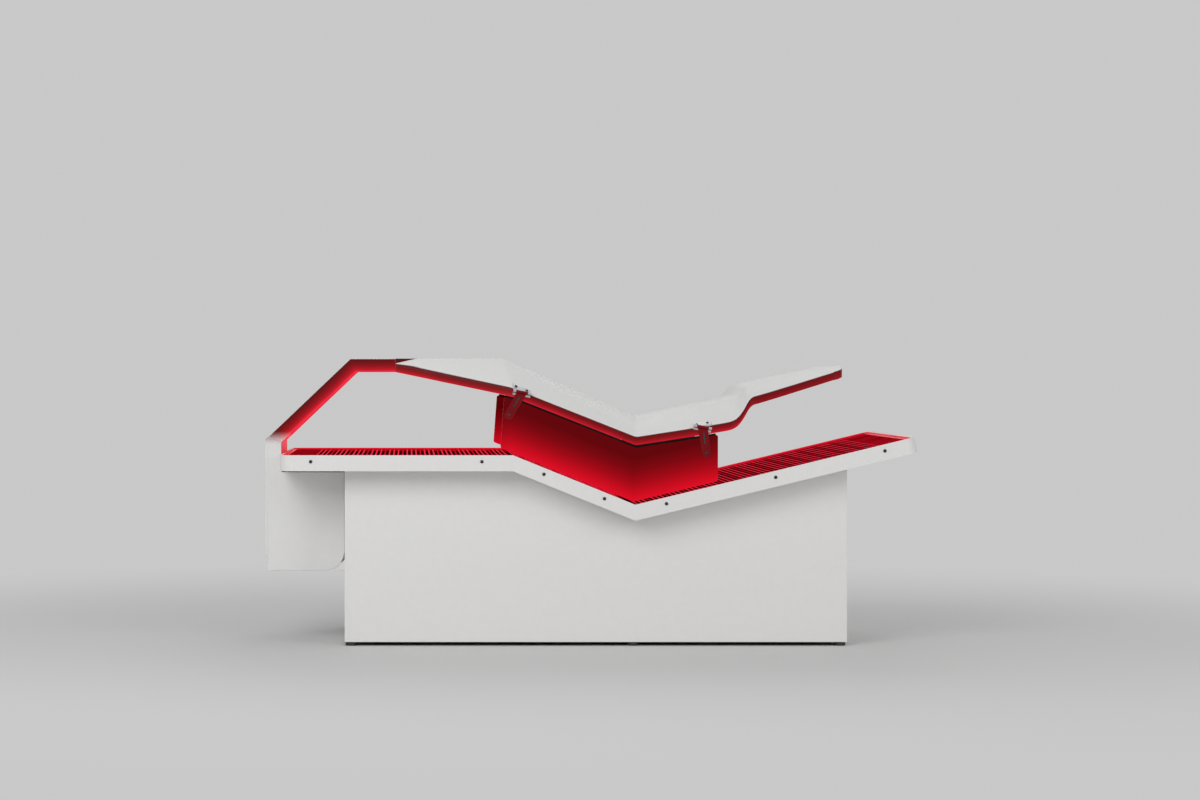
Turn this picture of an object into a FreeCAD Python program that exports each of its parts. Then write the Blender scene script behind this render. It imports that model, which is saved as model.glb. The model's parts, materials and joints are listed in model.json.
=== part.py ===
import FreeCAD, Part
import math
import os
import re

import Sketcher
from FreeCAD import Placement, Rotation, Vector

# Red light therapy bed: a bent LED deck on a cabinet, under a canopy that lifts about a
# hinge at the foot end, with a frosted shield hinged to each wing of the canopy.
# Millimetres, +Z up, +X towards the head, the user's left hand on the -Y side.
# The origin lies on the floor, in the middle of the bed's length and width.

# Driving dimensions
SIZES = [
    # Deck line, measured along the top of the tray's rim
    ("foot_length", 805),
    ("thigh_length", 456),
    ("thigh_angle", 22),
    ("back_length", 995.5),
    ("back_angle", 13.6),
    ("deck_height", 667),
    # Tray
    ("tray_width", 1000),
    ("rim_height", 55),
    ("rim_wall", 12),
    ("ledge_width", 10),
    ("tray_floor", 4),
    ("tray_corner", 45),
    ("rim_screw_inset", 107),
    ("rim_screw_drop", 22),
    ("rim_screw_head", 12),
    ("screw_head_height", 3),
    ("screw_shank", 5),
    ("screw_length", 16),
    ("hole_clearance", 0.1),
    # Light stack in the tray
    ("deck_lens_thick", 4),
    ("lens_drop", 1),
    ("lens_gap", 0.5),
    ("panel_joint", 1),
    ("light_gap", 6),
    ("board_thick", 3),
    ("board_inset", 26),
    ("sink_plate", 6),
    ("fin_thick", 4),
    ("fin_count", 9),
    # Cabinet
    ("base_width", 800),
    ("base_foot_setback", 222),
    ("base_head_setback", 222),
    ("base_clearance", 13),
    ("panel_gauge", 3),
    ("panel_top_gap", 1),
    ("frame_tube", 40),
    ("pan_gauge", 3),
    ("pan_gap", 1),
    ("foot_pad", 40),
    ("foot_stud", 12),
    ("foot_stud_length", 30),
    ("vent_length", 260),
    ("vent_width", 8),
    ("vent_pitch", 22),
    ("vent_count", 8),
    ("vent_height", 120),
    # Canopy hinge and drive
    ("pivot_reach", 75),
    ("pivot_height", 322),
    ("lift_angle", 45),
    ("cheek_thick", 20),
    ("cheek_gap", 2.5),
    ("shaft_diameter", 40),
    ("shaft_end_gap", 0.5),
    ("running_clearance", 0.05),
    ("fit_clearance", 0.02),
    ("bush_wall", 4),
    ("bracket_thick", 16),
    ("bracket_half", 30),
    ("bracket_flange", 8),
    ("bracket_flange_side", 24),
    ("bracket_flange_half", 45),
    ("bracket_window_gap", 2),
    ("gearbox_length", 144),
    ("gearbox_diameter", 110),
    ("gearbox_bore_gap", 0.3),
    ("motor_diameter", 68),
    ("motor_reach", 170),
    ("hub_flange", 96),
    ("hub_flange_thick", 10),
    ("hub_boss", 64),
    ("hub_length", 35),
    # Canopy
    ("canopy_width", 470),
    ("slab_thick", 48),
    ("canopy_lens_thick", 8),
    ("foot_gap", 5),
    ("cover_thick", 10),
    ("cover_margin", 5),
    ("cover_bottom", 310),
    ("cover_screw_inset", 15),
    ("cover_screw_top", 30),
    ("box_bottom", 251),
    ("box_top_gap", 12),
    ("shell_wall", 5),
    ("slant_angle", 43.6),
    ("slant_rise", 57.5),
    ("roof_rise", 335),
    ("seam_reach", 399),
    ("crease_knee_lead", 26),
    ("crease_hip_lag", 28),
    ("crease_hip_rise", 297),
    ("crease_back_angle", 11.3),
    ("underside_inset", 15),
    ("canopy_board", 6),
    ("board_side_gap", 6),
    ("board_bend_gap", 12),
    ("board_end_gap", 18),
    ("canopy_lens_half", 205),
    ("canopy_ledge", 8),
    # Wings and visor
    ("wing_inset", 100),
    ("wing_root", 240),
    ("wing_band", 31),
    ("wing_knee_rise", 201),
    ("wing_knee_lag", 5),
    ("wing_hip_rise", 203),
    ("wing_hip_lag", 9),
    ("wing_back_angle", 8.7),
    ("wing_end_reach", 310),
    ("step_reach", 374),
    ("step_length", 76),
    ("step_rise", 46),
    ("step_wing_rise", 99.5),
    ("visor_draw_in", 60),
    ("visor_length", 292),
    ("visor_angle", 11.7),
    ("visor_wing_angle", 17.5),
    ("visor_wall", 10),
    ("visor_end_wall", 20),
    # Side shields and their hinges
    ("shield_thick", 10),
    ("shield_lead", 40),
    ("shield_lean", 13),
    ("shield_end_reach", 295),
    ("shield_top_gap", 6),
    ("shield_deck_gap", 7),
    ("shield_lead_rise", 24),
    ("shield_corner", 8),
    ("knuckle_lead", 35),
    ("knuckle_reach", 242),
    ("knuckle_rise", 27),
    ("knuckle_radius", 6),
    ("pin_radius", 3),
    ("axis_stand", 10),
    ("strap_width", 33),
    ("strap_length", 108),
    ("strap_thick", 4),
    ("strap_splay", 19),
    ("ear_length", 10),
    ("ear_gap", 0.5),
    ("leaf_thick", 3),
    ("leaf_height", 19),
    ("hinge_screw_head", 8),
    ("hinge_screw_rise", 2),
    ("strap_screw_near", 56),
    ("strap_screw_pitch", 35),
    ("barrel_over", 4),
    ("leaf_screw_shank", 4),
    ("leaf_screw_spread", 11),
    ("leaf_screw_drop", 8.5),
    ("shield_set_in", 4),
    # Supply and cooling inside the cabinet
    ("supply_length", 620),
    ("supply_width", 125),
    ("supply_height", 65),
    ("supply_spread", 200),
    ("control_length", 260),
    ("control_width", 180),
    ("control_height", 60),
    ("fan_side", 120),
    ("fan_depth", 38),
    ("fan_bore", 114),
    ("fan_spread", 190),
    ("fan_height", 330),
    ("fan_hub", 42),
    ("fan_hub_depth", 9.5),
    ("fan_strut", 10),
    ("fan_strut_depth", 5),
    ("fan_pin", 4),
    ("fan_pin_length", 28),
    ("fan_tip_gap", 1.5),
    ("rotor_gap", 2),
    ("rotor_depth", 21),
    ("fan_blades", 7),
    ("blade_chord", 17),
    ("blade_thick", 2),
    ("blade_pitch", 35),
    ("guard_wire", 3),
    ("guard_rings", 3),
    ("guard_pitch", 19),
    ("inlet_width", 48),
    ("inlet_height", 34),
    ("inlet_depth", 28),
    ("inlet_flange", 3),
    ("inlet_overlap", 6),
    ("inlet_wall", 6),
    ("inlet_well", 20),
    ("prong_setback", 4),
    ("prong_spread", 9.5),
    ("prong_low", 3.5),
    ("prong_high", 4),
    ("prong_thick", 2),
    ("prong_height", 5),
    ("switch_width", 22),
    ("switch_height", 30),
    ("switch_depth", 24),
    ("switch_wall", 2),
    ("switch_offset", 70),
    ("rocker_gap", 0.4),
    ("rocker_pin", 1.5),
    ("rocker_play", 1),
    ("rocker_depth", 4),
    ("rocker_back", 16),
    ("rocker_dish", 2),
    ("rocker_tilt", 10),
    ("power_height", 160),
]

# Places worked out from the driving dimensions
LAYOUT = [
    ("thigh_run", "thigh_length * cos(thigh_angle)"),
    ("back_run", "back_length * cos(back_angle)"),
    ("deck_run", "foot_length + thigh_run + back_run"),
    ("column_reach", "foot_gap + slab_thick + cover_thick"),
    ("rim_lean", "rim_height * cos(back_angle) * sin(back_angle)"),
    ("foot_x", "(column_reach - deck_run - rim_lean) / 2"),
    ("knee_x", "foot_x + foot_length"),
    ("hip_x", "knee_x + thigh_run"),
    ("head_x", "hip_x + back_run"),
    ("hip_z", "deck_height - thigh_length * sin(thigh_angle)"),
    ("base_foot_x", "foot_x + base_foot_setback"),
    ("base_head_x", "head_x - base_head_setback"),
    ("base_head_z", "hip_z + (base_head_x - hip_x) * tan(back_angle) - rim_height"),
    ("base_foot_z", "deck_height - rim_height"),
    ("base_hip_z", "hip_z - rim_height"),
    ("frame_foot_x", "base_foot_x + panel_gauge"),
    ("frame_head_x", "base_head_x - panel_gauge"),
    ("frame_half", "base_width / 2 - panel_gauge"),
    ("frame_clear", "frame_half - frame_tube"),
    ("pan_bottom", "base_clearance + frame_tube"),
    ("pan_top", "pan_bottom + pan_gauge"),
    ("pivot_x", "base_foot_x - pivot_reach"),
    ("inner_x", "foot_x - foot_gap"),
    ("outer_x", "inner_x - slab_thick"),
    ("canopy_half", "canopy_width / 2"),
    ("roof_height", "deck_height + roof_rise"),
    ("slant_start", "deck_height + slant_rise"),
    ("slant_drop", "slab_thick / cos(slant_angle)"),
    ("inner_start", "slant_start + slab_thick * tan(slant_angle) - slant_drop"),
    ("seam_x", "foot_x + seam_reach"),
    ("crease_knee_x", "knee_x - crease_knee_lead"),
    ("crease_hip_x", "hip_x + crease_hip_lag"),
    ("crease_hip_z", "hip_z + crease_hip_rise"),
    ("step_x", "hip_x + step_reach"),
    ("step_z", "crease_hip_z + (step_x - crease_hip_x) * tan(crease_back_angle)"),
    ("visor_x", "step_x + step_length"),
    ("visor_z", "step_z + step_rise + step_length / 2 * tan(visor_angle)"),
    ("visor_end_x", "visor_x + visor_length"),
    ("visor_end_z", "visor_z + visor_length * tan(visor_angle)"),
    ("wing_half", "tray_width / 2 - wing_inset"),
    ("visor_half", "wing_half - visor_draw_in"),
    ("wing_knee_x", "knee_x + wing_knee_lag"),
    ("wing_knee_z", "deck_height + wing_knee_rise"),
    ("wing_hip_x", "hip_x + wing_hip_lag"),
    ("wing_hip_z", "hip_z + wing_hip_rise"),
    ("wing_end_x", "hip_x + wing_end_reach"),
    ("wing_end_z", "wing_hip_z + (wing_end_x - wing_hip_x) * tan(wing_back_angle)"),
    ("visor_wing_z", "wing_end_z + step_wing_rise"),
    ("lens_bottom", "lens_drop + deck_lens_thick"),
    ("board_top", "lens_bottom + light_gap"),
    ("board_bottom", "board_top + board_thick"),
    ("sink_bottom", "board_bottom + sink_plate"),
    ("floor_top", "rim_height - tray_floor"),
    ("cavity_edge", "rim_wall + ledge_width"),
    ("board_half", "tray_width / 2 - cavity_edge - board_inset"),
    ("box_nose", "pivot_height - box_bottom"),
    ("box_end_x", "pivot_x + box_nose"),
    ("cheek_toe", "(box_nose + cheek_gap - box_nose * cos(lift_angle)) / sin(lift_angle)"),
    ("cheek_top", "(pivot_reach * sin(lift_angle) - box_nose - cheek_gap) / cos(lift_angle)"),
    ("box_top", "deck_height - rim_height - box_top_gap"),
    ("bracket_inner", "gearbox_length / 2"),
    ("bracket_outer", "bracket_inner + bracket_thick"),
    ("bush_radius", "shaft_diameter / 2 + bush_wall"),
    ("axis_y", "wing_half + axis_stand"),
    ("knuckle_foot_x", "knee_x + knuckle_lead"),
    ("knuckle_head_x", "hip_x + knuckle_reach"),
    ("wing_thigh_slope", "(wing_knee_z - wing_hip_z) / (wing_hip_x - wing_knee_x)"),
    ("knuckle_foot_z", "wing_knee_z - (knuckle_foot_x - wing_knee_x) * wing_thigh_slope + knuckle_rise"),
    ("knuckle_head_z", "wing_hip_z + (knuckle_head_x - wing_hip_x) * tan(wing_back_angle) + knuckle_rise"),
    ("axis_angle", "atan((knuckle_head_z - knuckle_foot_z) / (knuckle_head_x - knuckle_foot_x)) / 1 deg"),
    ("shield_inner", "wing_half - shield_set_in"),
    ("shield_end_x", "hip_x + shield_end_reach"),
    ("shield_end_z", "wing_hip_z + (shield_end_x - wing_hip_x) * tan(wing_back_angle)"),
]


def layout_sheet(doc, name, rows):
    """Fills a sheet with one aliased cell per row."""
    sheet = doc.addObject("Spreadsheet::Sheet", name)
    for number, (alias, content) in enumerate(rows, start=1):
        cell = "B%d" % number
        sheet.set("A%d" % number, alias)
        sheet.set(cell, content)
        sheet.setAlias(cell, alias)
    return sheet


HOME = {alias: "size." for alias, number in SIZES}
HOME.update({alias: "layout." for alias, formula in LAYOUT})


def qualified(formula):
    """Writes the sheet's name before each alias in a formula."""
    return re.sub(r"[a-z][a-z_0-9]*", lambda word: HOME.get(word[0], "") + word[0], formula)


doc = FreeCAD.newDocument("red_light_bed")
sizes = layout_sheet(doc, "size", [(alias, str(number)) for alias, number in SIZES])
layout = layout_sheet(doc, "layout", [(alias, "=" + qualified(formula)) for alias, formula in LAYOUT])
doc.recompute()

NODES = []


def value(formula):
    """The number that a formula of aliases gives."""
    return float(sizes.evalExpression(qualified(formula)))


def thigh_z(x):
    """Formula of the rim's height over the thigh part of the deck."""
    return "(deck_height - (%s - knee_x) * tan(thigh_angle))" % x


def back_z(x):
    """Formula of the rim's height over the back part of the deck."""
    return "(hip_z + (%s - hip_x) * tan(back_angle))" % x


# Drawing helpers


def new_body(label, is_node=True):
    """An empty body, which is a sub-part of its own unless it goes into another one."""
    body = doc.addObject("PartDesign::Body", label)
    body.Label = label
    if is_node:
        NODES.append(body)
    return body


def new_sketch(body, name, plane, offset):
    """A sketch on one of the body's own origin planes, moved along that plane's normal."""
    sketch = body.newObject("Sketcher::SketchObject", name)
    support = [item for item in body.Origin.OriginFeatures if item.Role == plane + "_Plane"]
    sketch.AttachmentSupport = [(support[0], "")]
    sketch.MapMode = "FlatFace"
    sketch.setExpression("AttachmentOffset.Base.z", qualified(offset))
    return sketch


def fix_point(sketch, shape, end, x, z):
    """Ties one point of a sketch to two formulas."""
    for kind, formula in (("DistanceX", x), ("DistanceY", z)):
        rule = Sketcher.Constraint(kind, -1, 1, shape, end, value(formula))
        place = sketch.addConstraint(rule)
        sketch.setExpression("Constraints[%d]" % place, qualified(formula))


def add_outline(sketch, corners):
    """A closed outline of straight edges through corners given as pairs of formulas."""
    points = [Vector(value(x), value(z), 0) for x, z in corners]
    first = sketch.GeometryCount
    count = len(points)
    for place, point in enumerate(points):
        sketch.addGeometry(Part.LineSegment(point, points[(place + 1) % count]))
    for place, (x, z) in enumerate(corners):
        following = first + (place + 1) % count
        sketch.addConstraint(Sketcher.Constraint("Coincident", first + place, 2, following, 1))
        fix_point(sketch, first + place, 1, x, z)


def add_circle(sketch, x, z, radius):
    """A circle with its centre and radius given as formulas."""
    centre = Vector(value(x), value(z), 0)
    shape = sketch.addGeometry(Part.Circle(centre, Vector(0, 0, 1), value(radius)))
    fix_point(sketch, shape, 3, x, z)
    place = sketch.addConstraint(Sketcher.Constraint("Radius", shape, value(radius)))
    sketch.setExpression("Constraints[%d]" % place, qualified(radius))


def extrude(body, kind, name, sketch, length, both_sides):
    """A pad or a pocket of a sketch, to one side or symmetric about its plane."""
    feature = body.newObject("PartDesign::" + kind, name)
    feature.Profile = sketch
    feature.setExpression("Length", qualified(length))
    feature.SideType = "Symmetric" if both_sides else "One side"
    sketch.Visibility = False
    return feature


def prism(body, kind, name, corners, width):
    """A pad or a pocket across the bed, symmetric about the middle plane."""
    sketch = new_sketch(body, name + "_sketch", "XZ", "0")
    add_outline(sketch, corners)
    return extrude(body, kind, name, sketch, width, True)


def side_plate(body, kind, name, corners, offset, thickness):
    """A pad or a pocket parallel to the bed's side, from the offset towards -Y."""
    sketch = new_sketch(body, name + "_sketch", "XZ", offset)
    add_outline(sketch, corners)
    return extrude(body, kind, name, sketch, thickness, False)


def rectangle(left, right, bottom, top):
    """The four corners of an upright rectangle."""
    return [(left, bottom), (right, bottom), (right, top), (left, top)]


def round_edges(body, radius, chosen):
    """Rounds the edges of the body's tip that the test picks."""
    doc.recompute()
    base = body.Tip
    names = []
    for number, edge in enumerate(base.Shape.Edges, start=1):
        if chosen(edge):
            names.append("Edge%d" % number)
    fillet = body.newObject("PartDesign::Fillet", body.Label + "_round_%d" % len(body.Group))
    fillet.Base = (base, names)
    fillet.setExpression("Radius", qualified(radius))
    return fillet


def upright_at(x, y):
    """A test for upright straight edges that stand at the given distances from the middle."""
    def chosen(edge):
        ends = [vertex.Point for vertex in edge.Vertexes]
        if len(ends) < 2 or abs(ends[0].x - ends[1].x) > 0.01 or abs(ends[0].y - ends[1].y) > 0.01:
            return False
        near_x = min(abs(ends[0].x - place) for place in x) < 0.01
        return near_x and abs(abs(ends[0].y) - y) < 0.01
    return chosen


def joining_at(points, y):
    """A test for edges of one side of the bed that join two of the given places in the side view."""
    def placed(end):
        return abs(abs(end.y) - y) < 0.01 and min(abs(end.x - x) + abs(end.z - z) for x, z in points) < 0.01

    def chosen(edge):
        ends = [vertex.Point for vertex in edge.Vertexes]
        one_side = len(ends) == 2 and abs(ends[0].y - ends[1].y) < 0.01
        return one_side and all(placed(end) for end in ends)
    return chosen


def across_at(points):
    """A test for edges that run across the bed through the given places in the side view."""
    def chosen(edge):
        ends = [vertex.Point for vertex in edge.Vertexes]
        if len(ends) < 2 or abs(ends[0].x - ends[1].x) + abs(ends[0].z - ends[1].z) > 0.01:
            return False
        return any(math.hypot(ends[0].x - x, ends[0].z - z) < 0.01 for x, z in points)
    return chosen


def new_feature(label, shape):
    """A sub-part whose shape is worked out here from the sheets."""
    feature = doc.addObject("Part::Feature", label)
    feature.Label = label
    feature.Shape = shape
    NODES.append(feature)
    return feature


def primitive(kind, name, sizes_of, place, axis=None):
    """A Part primitive with its sizes and its place bound to formulas."""
    item = doc.addObject("Part::" + kind, name)
    for key, formula in sizes_of.items():
        item.setExpression(key, qualified(formula))
    if axis is not None:
        item.Placement = Placement(Vector(), Rotation(Vector(0, 0, 1), axis))
    for key, formula in zip("xyz", place):
        item.setExpression("Placement.Base." + key, qualified(formula))
    return item


def block(name, low, high):
    """A box between two corners given as formulas."""
    spans = ["(%s) - (%s)" % (b, a) for a, b in zip(low, high)]
    return primitive("Box", name, dict(zip(("Length", "Width", "Height"), spans)), low)


ALONG_X = Vector(1, 0, 0)
ALONG_Y = Vector(0, 1, 0)


def rod(name, radius, length, start, axis):
    """A cylinder from a start point along an axis."""
    return primitive("Cylinder", name, {"Radius": radius, "Height": length}, start, axis)


def combined(kind, label, base, tools):
    """A Part boolean of several objects."""
    if kind == "Fuse":
        item = doc.addObject("Part::MultiFuse", label)
        item.Shapes = [base] + tools
    else:
        item = doc.addObject("Part::" + kind, label)
        item.Base = base
        item.Tool = tools[0]
    item.Refine = True
    item.Label = label
    return item


def as_node(item):
    """Marks an object as a sub-part of its own."""
    NODES.append(item)
    return item


def screw(point, outward, head, rise, shank, length):
    """One screw: its head stands on the surface at a point, its shank goes in."""
    cap = Part.makeCylinder(head / 2, rise, point, outward)
    stem = Part.makeCylinder(shank / 2, length, point - outward * length, outward)
    return cap.fuse(stem).removeSplitter()


# Tray and its light stack


def deck_outline(start, end, top, bottom, low_end=None):
    """The bent deck line between two places, as a band between two drops below the rim."""
    def line(drop, finish):
        return [
            (start, "deck_height - (%s)" % drop),
            ("knee_x", "deck_height - (%s)" % drop),
            ("hip_x", "hip_z - (%s)" % drop),
            (finish, "%s - (%s)" % (back_z(finish), drop)),
        ]
    return line(top, end) + line(bottom, low_end or end)[::-1]


def rim_screw_places():
    """Formulas of the rim screws' places along one side."""
    along = [
        "foot_x + rim_screw_inset",
        "knee_x - rim_screw_inset",
        "knee_x + rim_screw_inset",
        "hip_x - rim_screw_inset",
        "hip_x + rim_screw_inset",
        "(hip_x + head_x) / 2",
        "head_x - rim_screw_inset",
    ]
    heights = ["deck_height", "deck_height", thigh_z(along[2]), thigh_z(along[3])]
    heights += [back_z(x) for x in along[4:]]
    return [(x, "%s - rim_screw_drop" % z) for x, z in zip(along, heights)]


def deck_plan(label, edge):
    """A tall block over the deck, inset from the tray's sides by an edge, with the tray's round corners."""
    body = new_body(label, is_node=False)
    start = "foot_x + " + edge
    end = "head_x - " + edge
    outline = [(start, "0"), (end, "0"), (end, "2 * deck_height"), (start, "2 * deck_height")]
    prism(body, "Pad", label + "_block", outline, "tray_width - 2 * " + edge)
    corners = upright_at([value(start), value(end)], value("tray_width / 2 - " + edge))
    round_edges(body, "tray_corner - " + edge, corners)
    return body


def tray_shell():
    """The bent tub with a ledge for the lenses and a floor for the heat sinks."""
    shell = new_body("tray_block", is_node=False)
    outline = deck_outline("foot_x", "head_x", "0", "rim_height", "(head_x + rim_lean)")
    prism(shell, "Pad", "tray_slab", outline, "tray_width")
    ends = [(value(x), value(z)) for x, z in (outline[0], outline[-1], outline[3], outline[4])]
    round_edges(shell, "tray_corner", joining_at(ends, value("tray_width / 2")))
    sketch = new_sketch(shell, "rim_hole_sketch", "XZ", "0")
    for x, z in rim_screw_places():
        add_circle(sketch, x, z, "screw_shank / 2 + hole_clearance")
    extrude(shell, "Pocket", "rim_holes", sketch, "tray_width * 2", True)
    seat = ("tray_seat", "rim_wall", "lens_bottom")
    cavity = ("tray_shell", "cavity_edge", "floor_top")
    for label, edge, depth in (seat, cavity):
        band = new_body(label + "_band", is_node=False)
        outline = deck_outline("foot_x", "head_x", "-rim_height", depth)
        prism(band, "Pad", label + "_layer", outline, "tray_width")
        space = combined("Common", label + "_space", band, [deck_plan(label + "_plan", edge)])
        shell = combined("Cut", label, shell, [space])
    as_node(shell)


def rim_screws():
    """The dark button screws along both skirts of the tray."""
    screws = []
    for x, z in rim_screw_places():
        for side in (-1, 1):
            point = Vector(value(x), side * value("tray_width / 2"), value(z))
            screws.append(screw(point, Vector(0, side, 0), value("rim_screw_head"),
                                value("screw_head_height"), value("screw_shank"), value("screw_length")))
    new_feature("rim_screws", Part.makeCompound(screws))


def deck_part(section, inset, top, bottom):
    """One straight part of the deck's stack: its four corners in the side view."""
    spans = {
        "foot": ("foot_x + %s" % inset, "knee_x - panel_joint / 2"),
        "thigh": ("knee_x + panel_joint / 2", "hip_x - panel_joint / 2"),
        "back": ("hip_x + panel_joint / 2", "head_x - (%s)" % inset),
    }
    start, end = spans[section]
    rims = {"foot": lambda x: "deck_height", "thigh": thigh_z, "back": back_z}
    rim = rims[section]
    corners = [(start, rim(start), top), (end, rim(end), top)]
    corners += [(end, rim(end), bottom), (start, rim(start), bottom)]
    return [(x, "%s - (%s)" % (z, drop)) for x, z, drop in corners]


def light_stack(section):
    """Lens, LED board and finned heat sink of one part of the deck."""
    name = "deck_lens_" + section
    edge = "(rim_wall + lens_gap)"
    sheet = new_body(name + "_sheet", is_node=False)
    prism(sheet, "Pad", name + "_plate", deck_part(section, "0", "lens_drop", "lens_bottom"), "tray_width")
    as_node(combined("Common", name, sheet, [deck_plan(name + "_plan", edge)]))
    board = new_body("led_board_" + section)
    inset = "(cavity_edge + board_inset)"
    prism(board, "Pad", board.Label + "_plate", deck_part(section, inset, "board_top", "board_bottom"),
          "2 * board_half")
    sink = new_body("heat_sink_" + section)
    prism(sink, "Pad", sink.Label + "_plate", deck_part(section, inset, "board_bottom", "sink_bottom"),
          "2 * board_half")
    fin_outline = deck_part(section, inset, "sink_bottom", "floor_top")
    fin = side_plate(sink, "Pad", sink.Label + "_fin", fin_outline, "board_half - fin_thick", "fin_thick")
    pattern = sink.newObject("PartDesign::LinearPattern", sink.Label + "_fins")
    pattern.Originals = [fin]
    across = [item for item in sink.Origin.OriginFeatures if item.Role == "Y_Axis"]
    pattern.Direction = (across[0], [""])
    pattern.setExpression("Length", qualified("2 * board_half - fin_thick"))
    pattern.setExpression("Occurrences", qualified("fin_count"))
    sink.Tip = pattern


# Cabinet


def cabinet_outline(start, end, bottom, drop):
    """The cabinet's side view: flat below, bent along the tray's underside above."""
    return [
        (start, bottom),
        (end, bottom),
        (end, "%s - rim_height - (%s)" % (back_z(end), drop)),
        ("hip_x", "base_hip_z - (%s)" % drop),
        ("knee_x", "base_foot_z - (%s)" % drop),
        (start, "base_foot_z - (%s)" % drop),
    ]


def foot_stud_places():
    """Formulas of the levelling feet's places under the bottom rails."""
    along = ["frame_foot_x + frame_tube / 2", "hip_x", "frame_head_x - frame_tube / 2"]
    across = ["frame_half - frame_tube / 2", "frame_tube / 2 - frame_half"]
    return [(x, y) for x in along for y in across]


def base_frame():
    """Welded frame: two side trusses joined by cross rails, with a beam for the hinge."""
    body = new_body("base_frame")
    whole = cabinet_outline("frame_foot_x", "frame_head_x", "base_clearance", "0")
    prism(body, "Pad", "frame_block", whole, "2 * frame_half")
    low = "pan_bottom"
    drop = "frame_tube"
    foot_bay = [
        ("frame_foot_x + frame_tube", low),
        ("hip_x - frame_tube / 2", low),
        ("hip_x - frame_tube / 2", thigh_z("hip_x - frame_tube / 2") + " - rim_height - frame_tube"),
        ("knee_x", "base_foot_z - frame_tube"),
        ("frame_foot_x + frame_tube", "base_foot_z - frame_tube"),
    ]
    head_end = "frame_head_x - frame_tube"
    head_bay = [
        ("hip_x + frame_tube / 2", low),
        (head_end, low),
        (head_end, back_z(head_end) + " - rim_height - frame_tube"),
        ("hip_x + frame_tube / 2", back_z("hip_x + frame_tube / 2") + " - rim_height - frame_tube"),
    ]
    prism(body, "Pocket", "foot_bay", foot_bay, "3 * frame_half")
    prism(body, "Pocket", "head_bay", head_bay, "3 * frame_half")
    inside = cabinet_outline("frame_foot_x - frame_tube", "frame_head_x + frame_tube", low, drop)
    prism(body, "Pocket", "frame_inside", inside, "2 * frame_clear")
    sketch = new_sketch(body, "frame_plan_sketch", "XY", "0")
    rails = ["frame_foot_x + frame_tube / 2", "knee_x", "hip_x", "(hip_x + frame_head_x) / 2",
             "frame_head_x - frame_tube / 2"]
    for left, right in zip(rails, rails[1:]):
        add_outline(sketch, rectangle(left + " + frame_tube / 2", right + " - frame_tube / 2",
                                      "-frame_clear", "frame_clear"))
    extrude(body, "Pocket", "frame_plan", sketch, "4 * deck_height", True)
    beam = rectangle("frame_foot_x", "frame_foot_x + frame_tube",
                     "pivot_height - bracket_flange_half", "pivot_height + bracket_flange_half")
    prism(body, "Pad", "hinge_beam", beam, "2 * frame_half")
    sketch = new_sketch(body, "stud_hole_sketch", "XY", "0")
    for x, y in foot_stud_places():
        add_circle(sketch, x, y, "foot_stud / 2 + hole_clearance")
    stud_top = "base_clearance + foot_stud_length + hole_clearance"
    extrude(body, "Pocket", "stud_holes", sketch, "2 * (%s)" % stud_top, True)


def levelling_feet():
    """Six screw feet that carry the cabinet on the floor."""
    feet = []
    for x, y in foot_stud_places():
        ground = Vector(value(x), value(y), 0)
        pad = Part.makeCylinder(value("foot_pad / 2"), value("base_clearance"), ground)
        stud = Part.makeCylinder(value("foot_stud / 2"), value("base_clearance + foot_stud_length"), ground)
        feet.append(pad.fuse(stud).removeSplitter())
    new_feature("levelling_feet", Part.makeCompound(feet))


def side_panels():
    """Sheet panels on the two long sides; the far one has cooling slots."""
    whole = cabinet_outline("base_foot_x", "base_head_x", "base_clearance", "panel_top_gap")
    front = new_body("front_panel")
    side_plate(front, "Pad", "front_sheet", whole, "frame_half", "panel_gauge")
    rear = new_body("rear_panel")
    side_plate(rear, "Pad", "rear_sheet", whole, "-frame_half - panel_gauge", "panel_gauge")
    slot = rectangle("hip_x - vent_length / 2", "hip_x + vent_length / 2",
                     "vent_height", "vent_height + vent_width")
    first = prism(rear, "Pocket", "rear_slot", slot, "2 * base_width")
    pattern = rear.newObject("PartDesign::LinearPattern", "rear_slots")
    pattern.Originals = [first]
    upward = [item for item in rear.Origin.OriginFeatures if item.Role == "Z_Axis"]
    pattern.Direction = (upward[0], [""])
    pattern.setExpression("Length", qualified("vent_pitch * (vent_count - 1)"))
    pattern.setExpression("Occurrences", qualified("vent_count"))
    rear.Tip = pattern


def end_plate(body, name, x, top):
    """A sheet across one end of the cabinet, between the long side panels."""
    sketch = new_sketch(body, name + "_sketch", "YZ", x)
    half = "frame_half"
    add_outline(sketch, rectangle("-" + half, half, "base_clearance", top + " - panel_top_gap"))
    extrude(body, "Pad", name, sketch, "panel_gauge", False)


def end_holes(body, name, outlines, circles):
    """Openings through an end sheet."""
    sketch = new_sketch(body, name + "_sketch", "YZ", "0")
    for outline in outlines:
        add_outline(sketch, outline)
    for y, z, radius in circles:
        add_circle(sketch, y, z, radius)
    extrude(body, "Pocket", name, sketch, "4 * deck_run", True)


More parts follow.
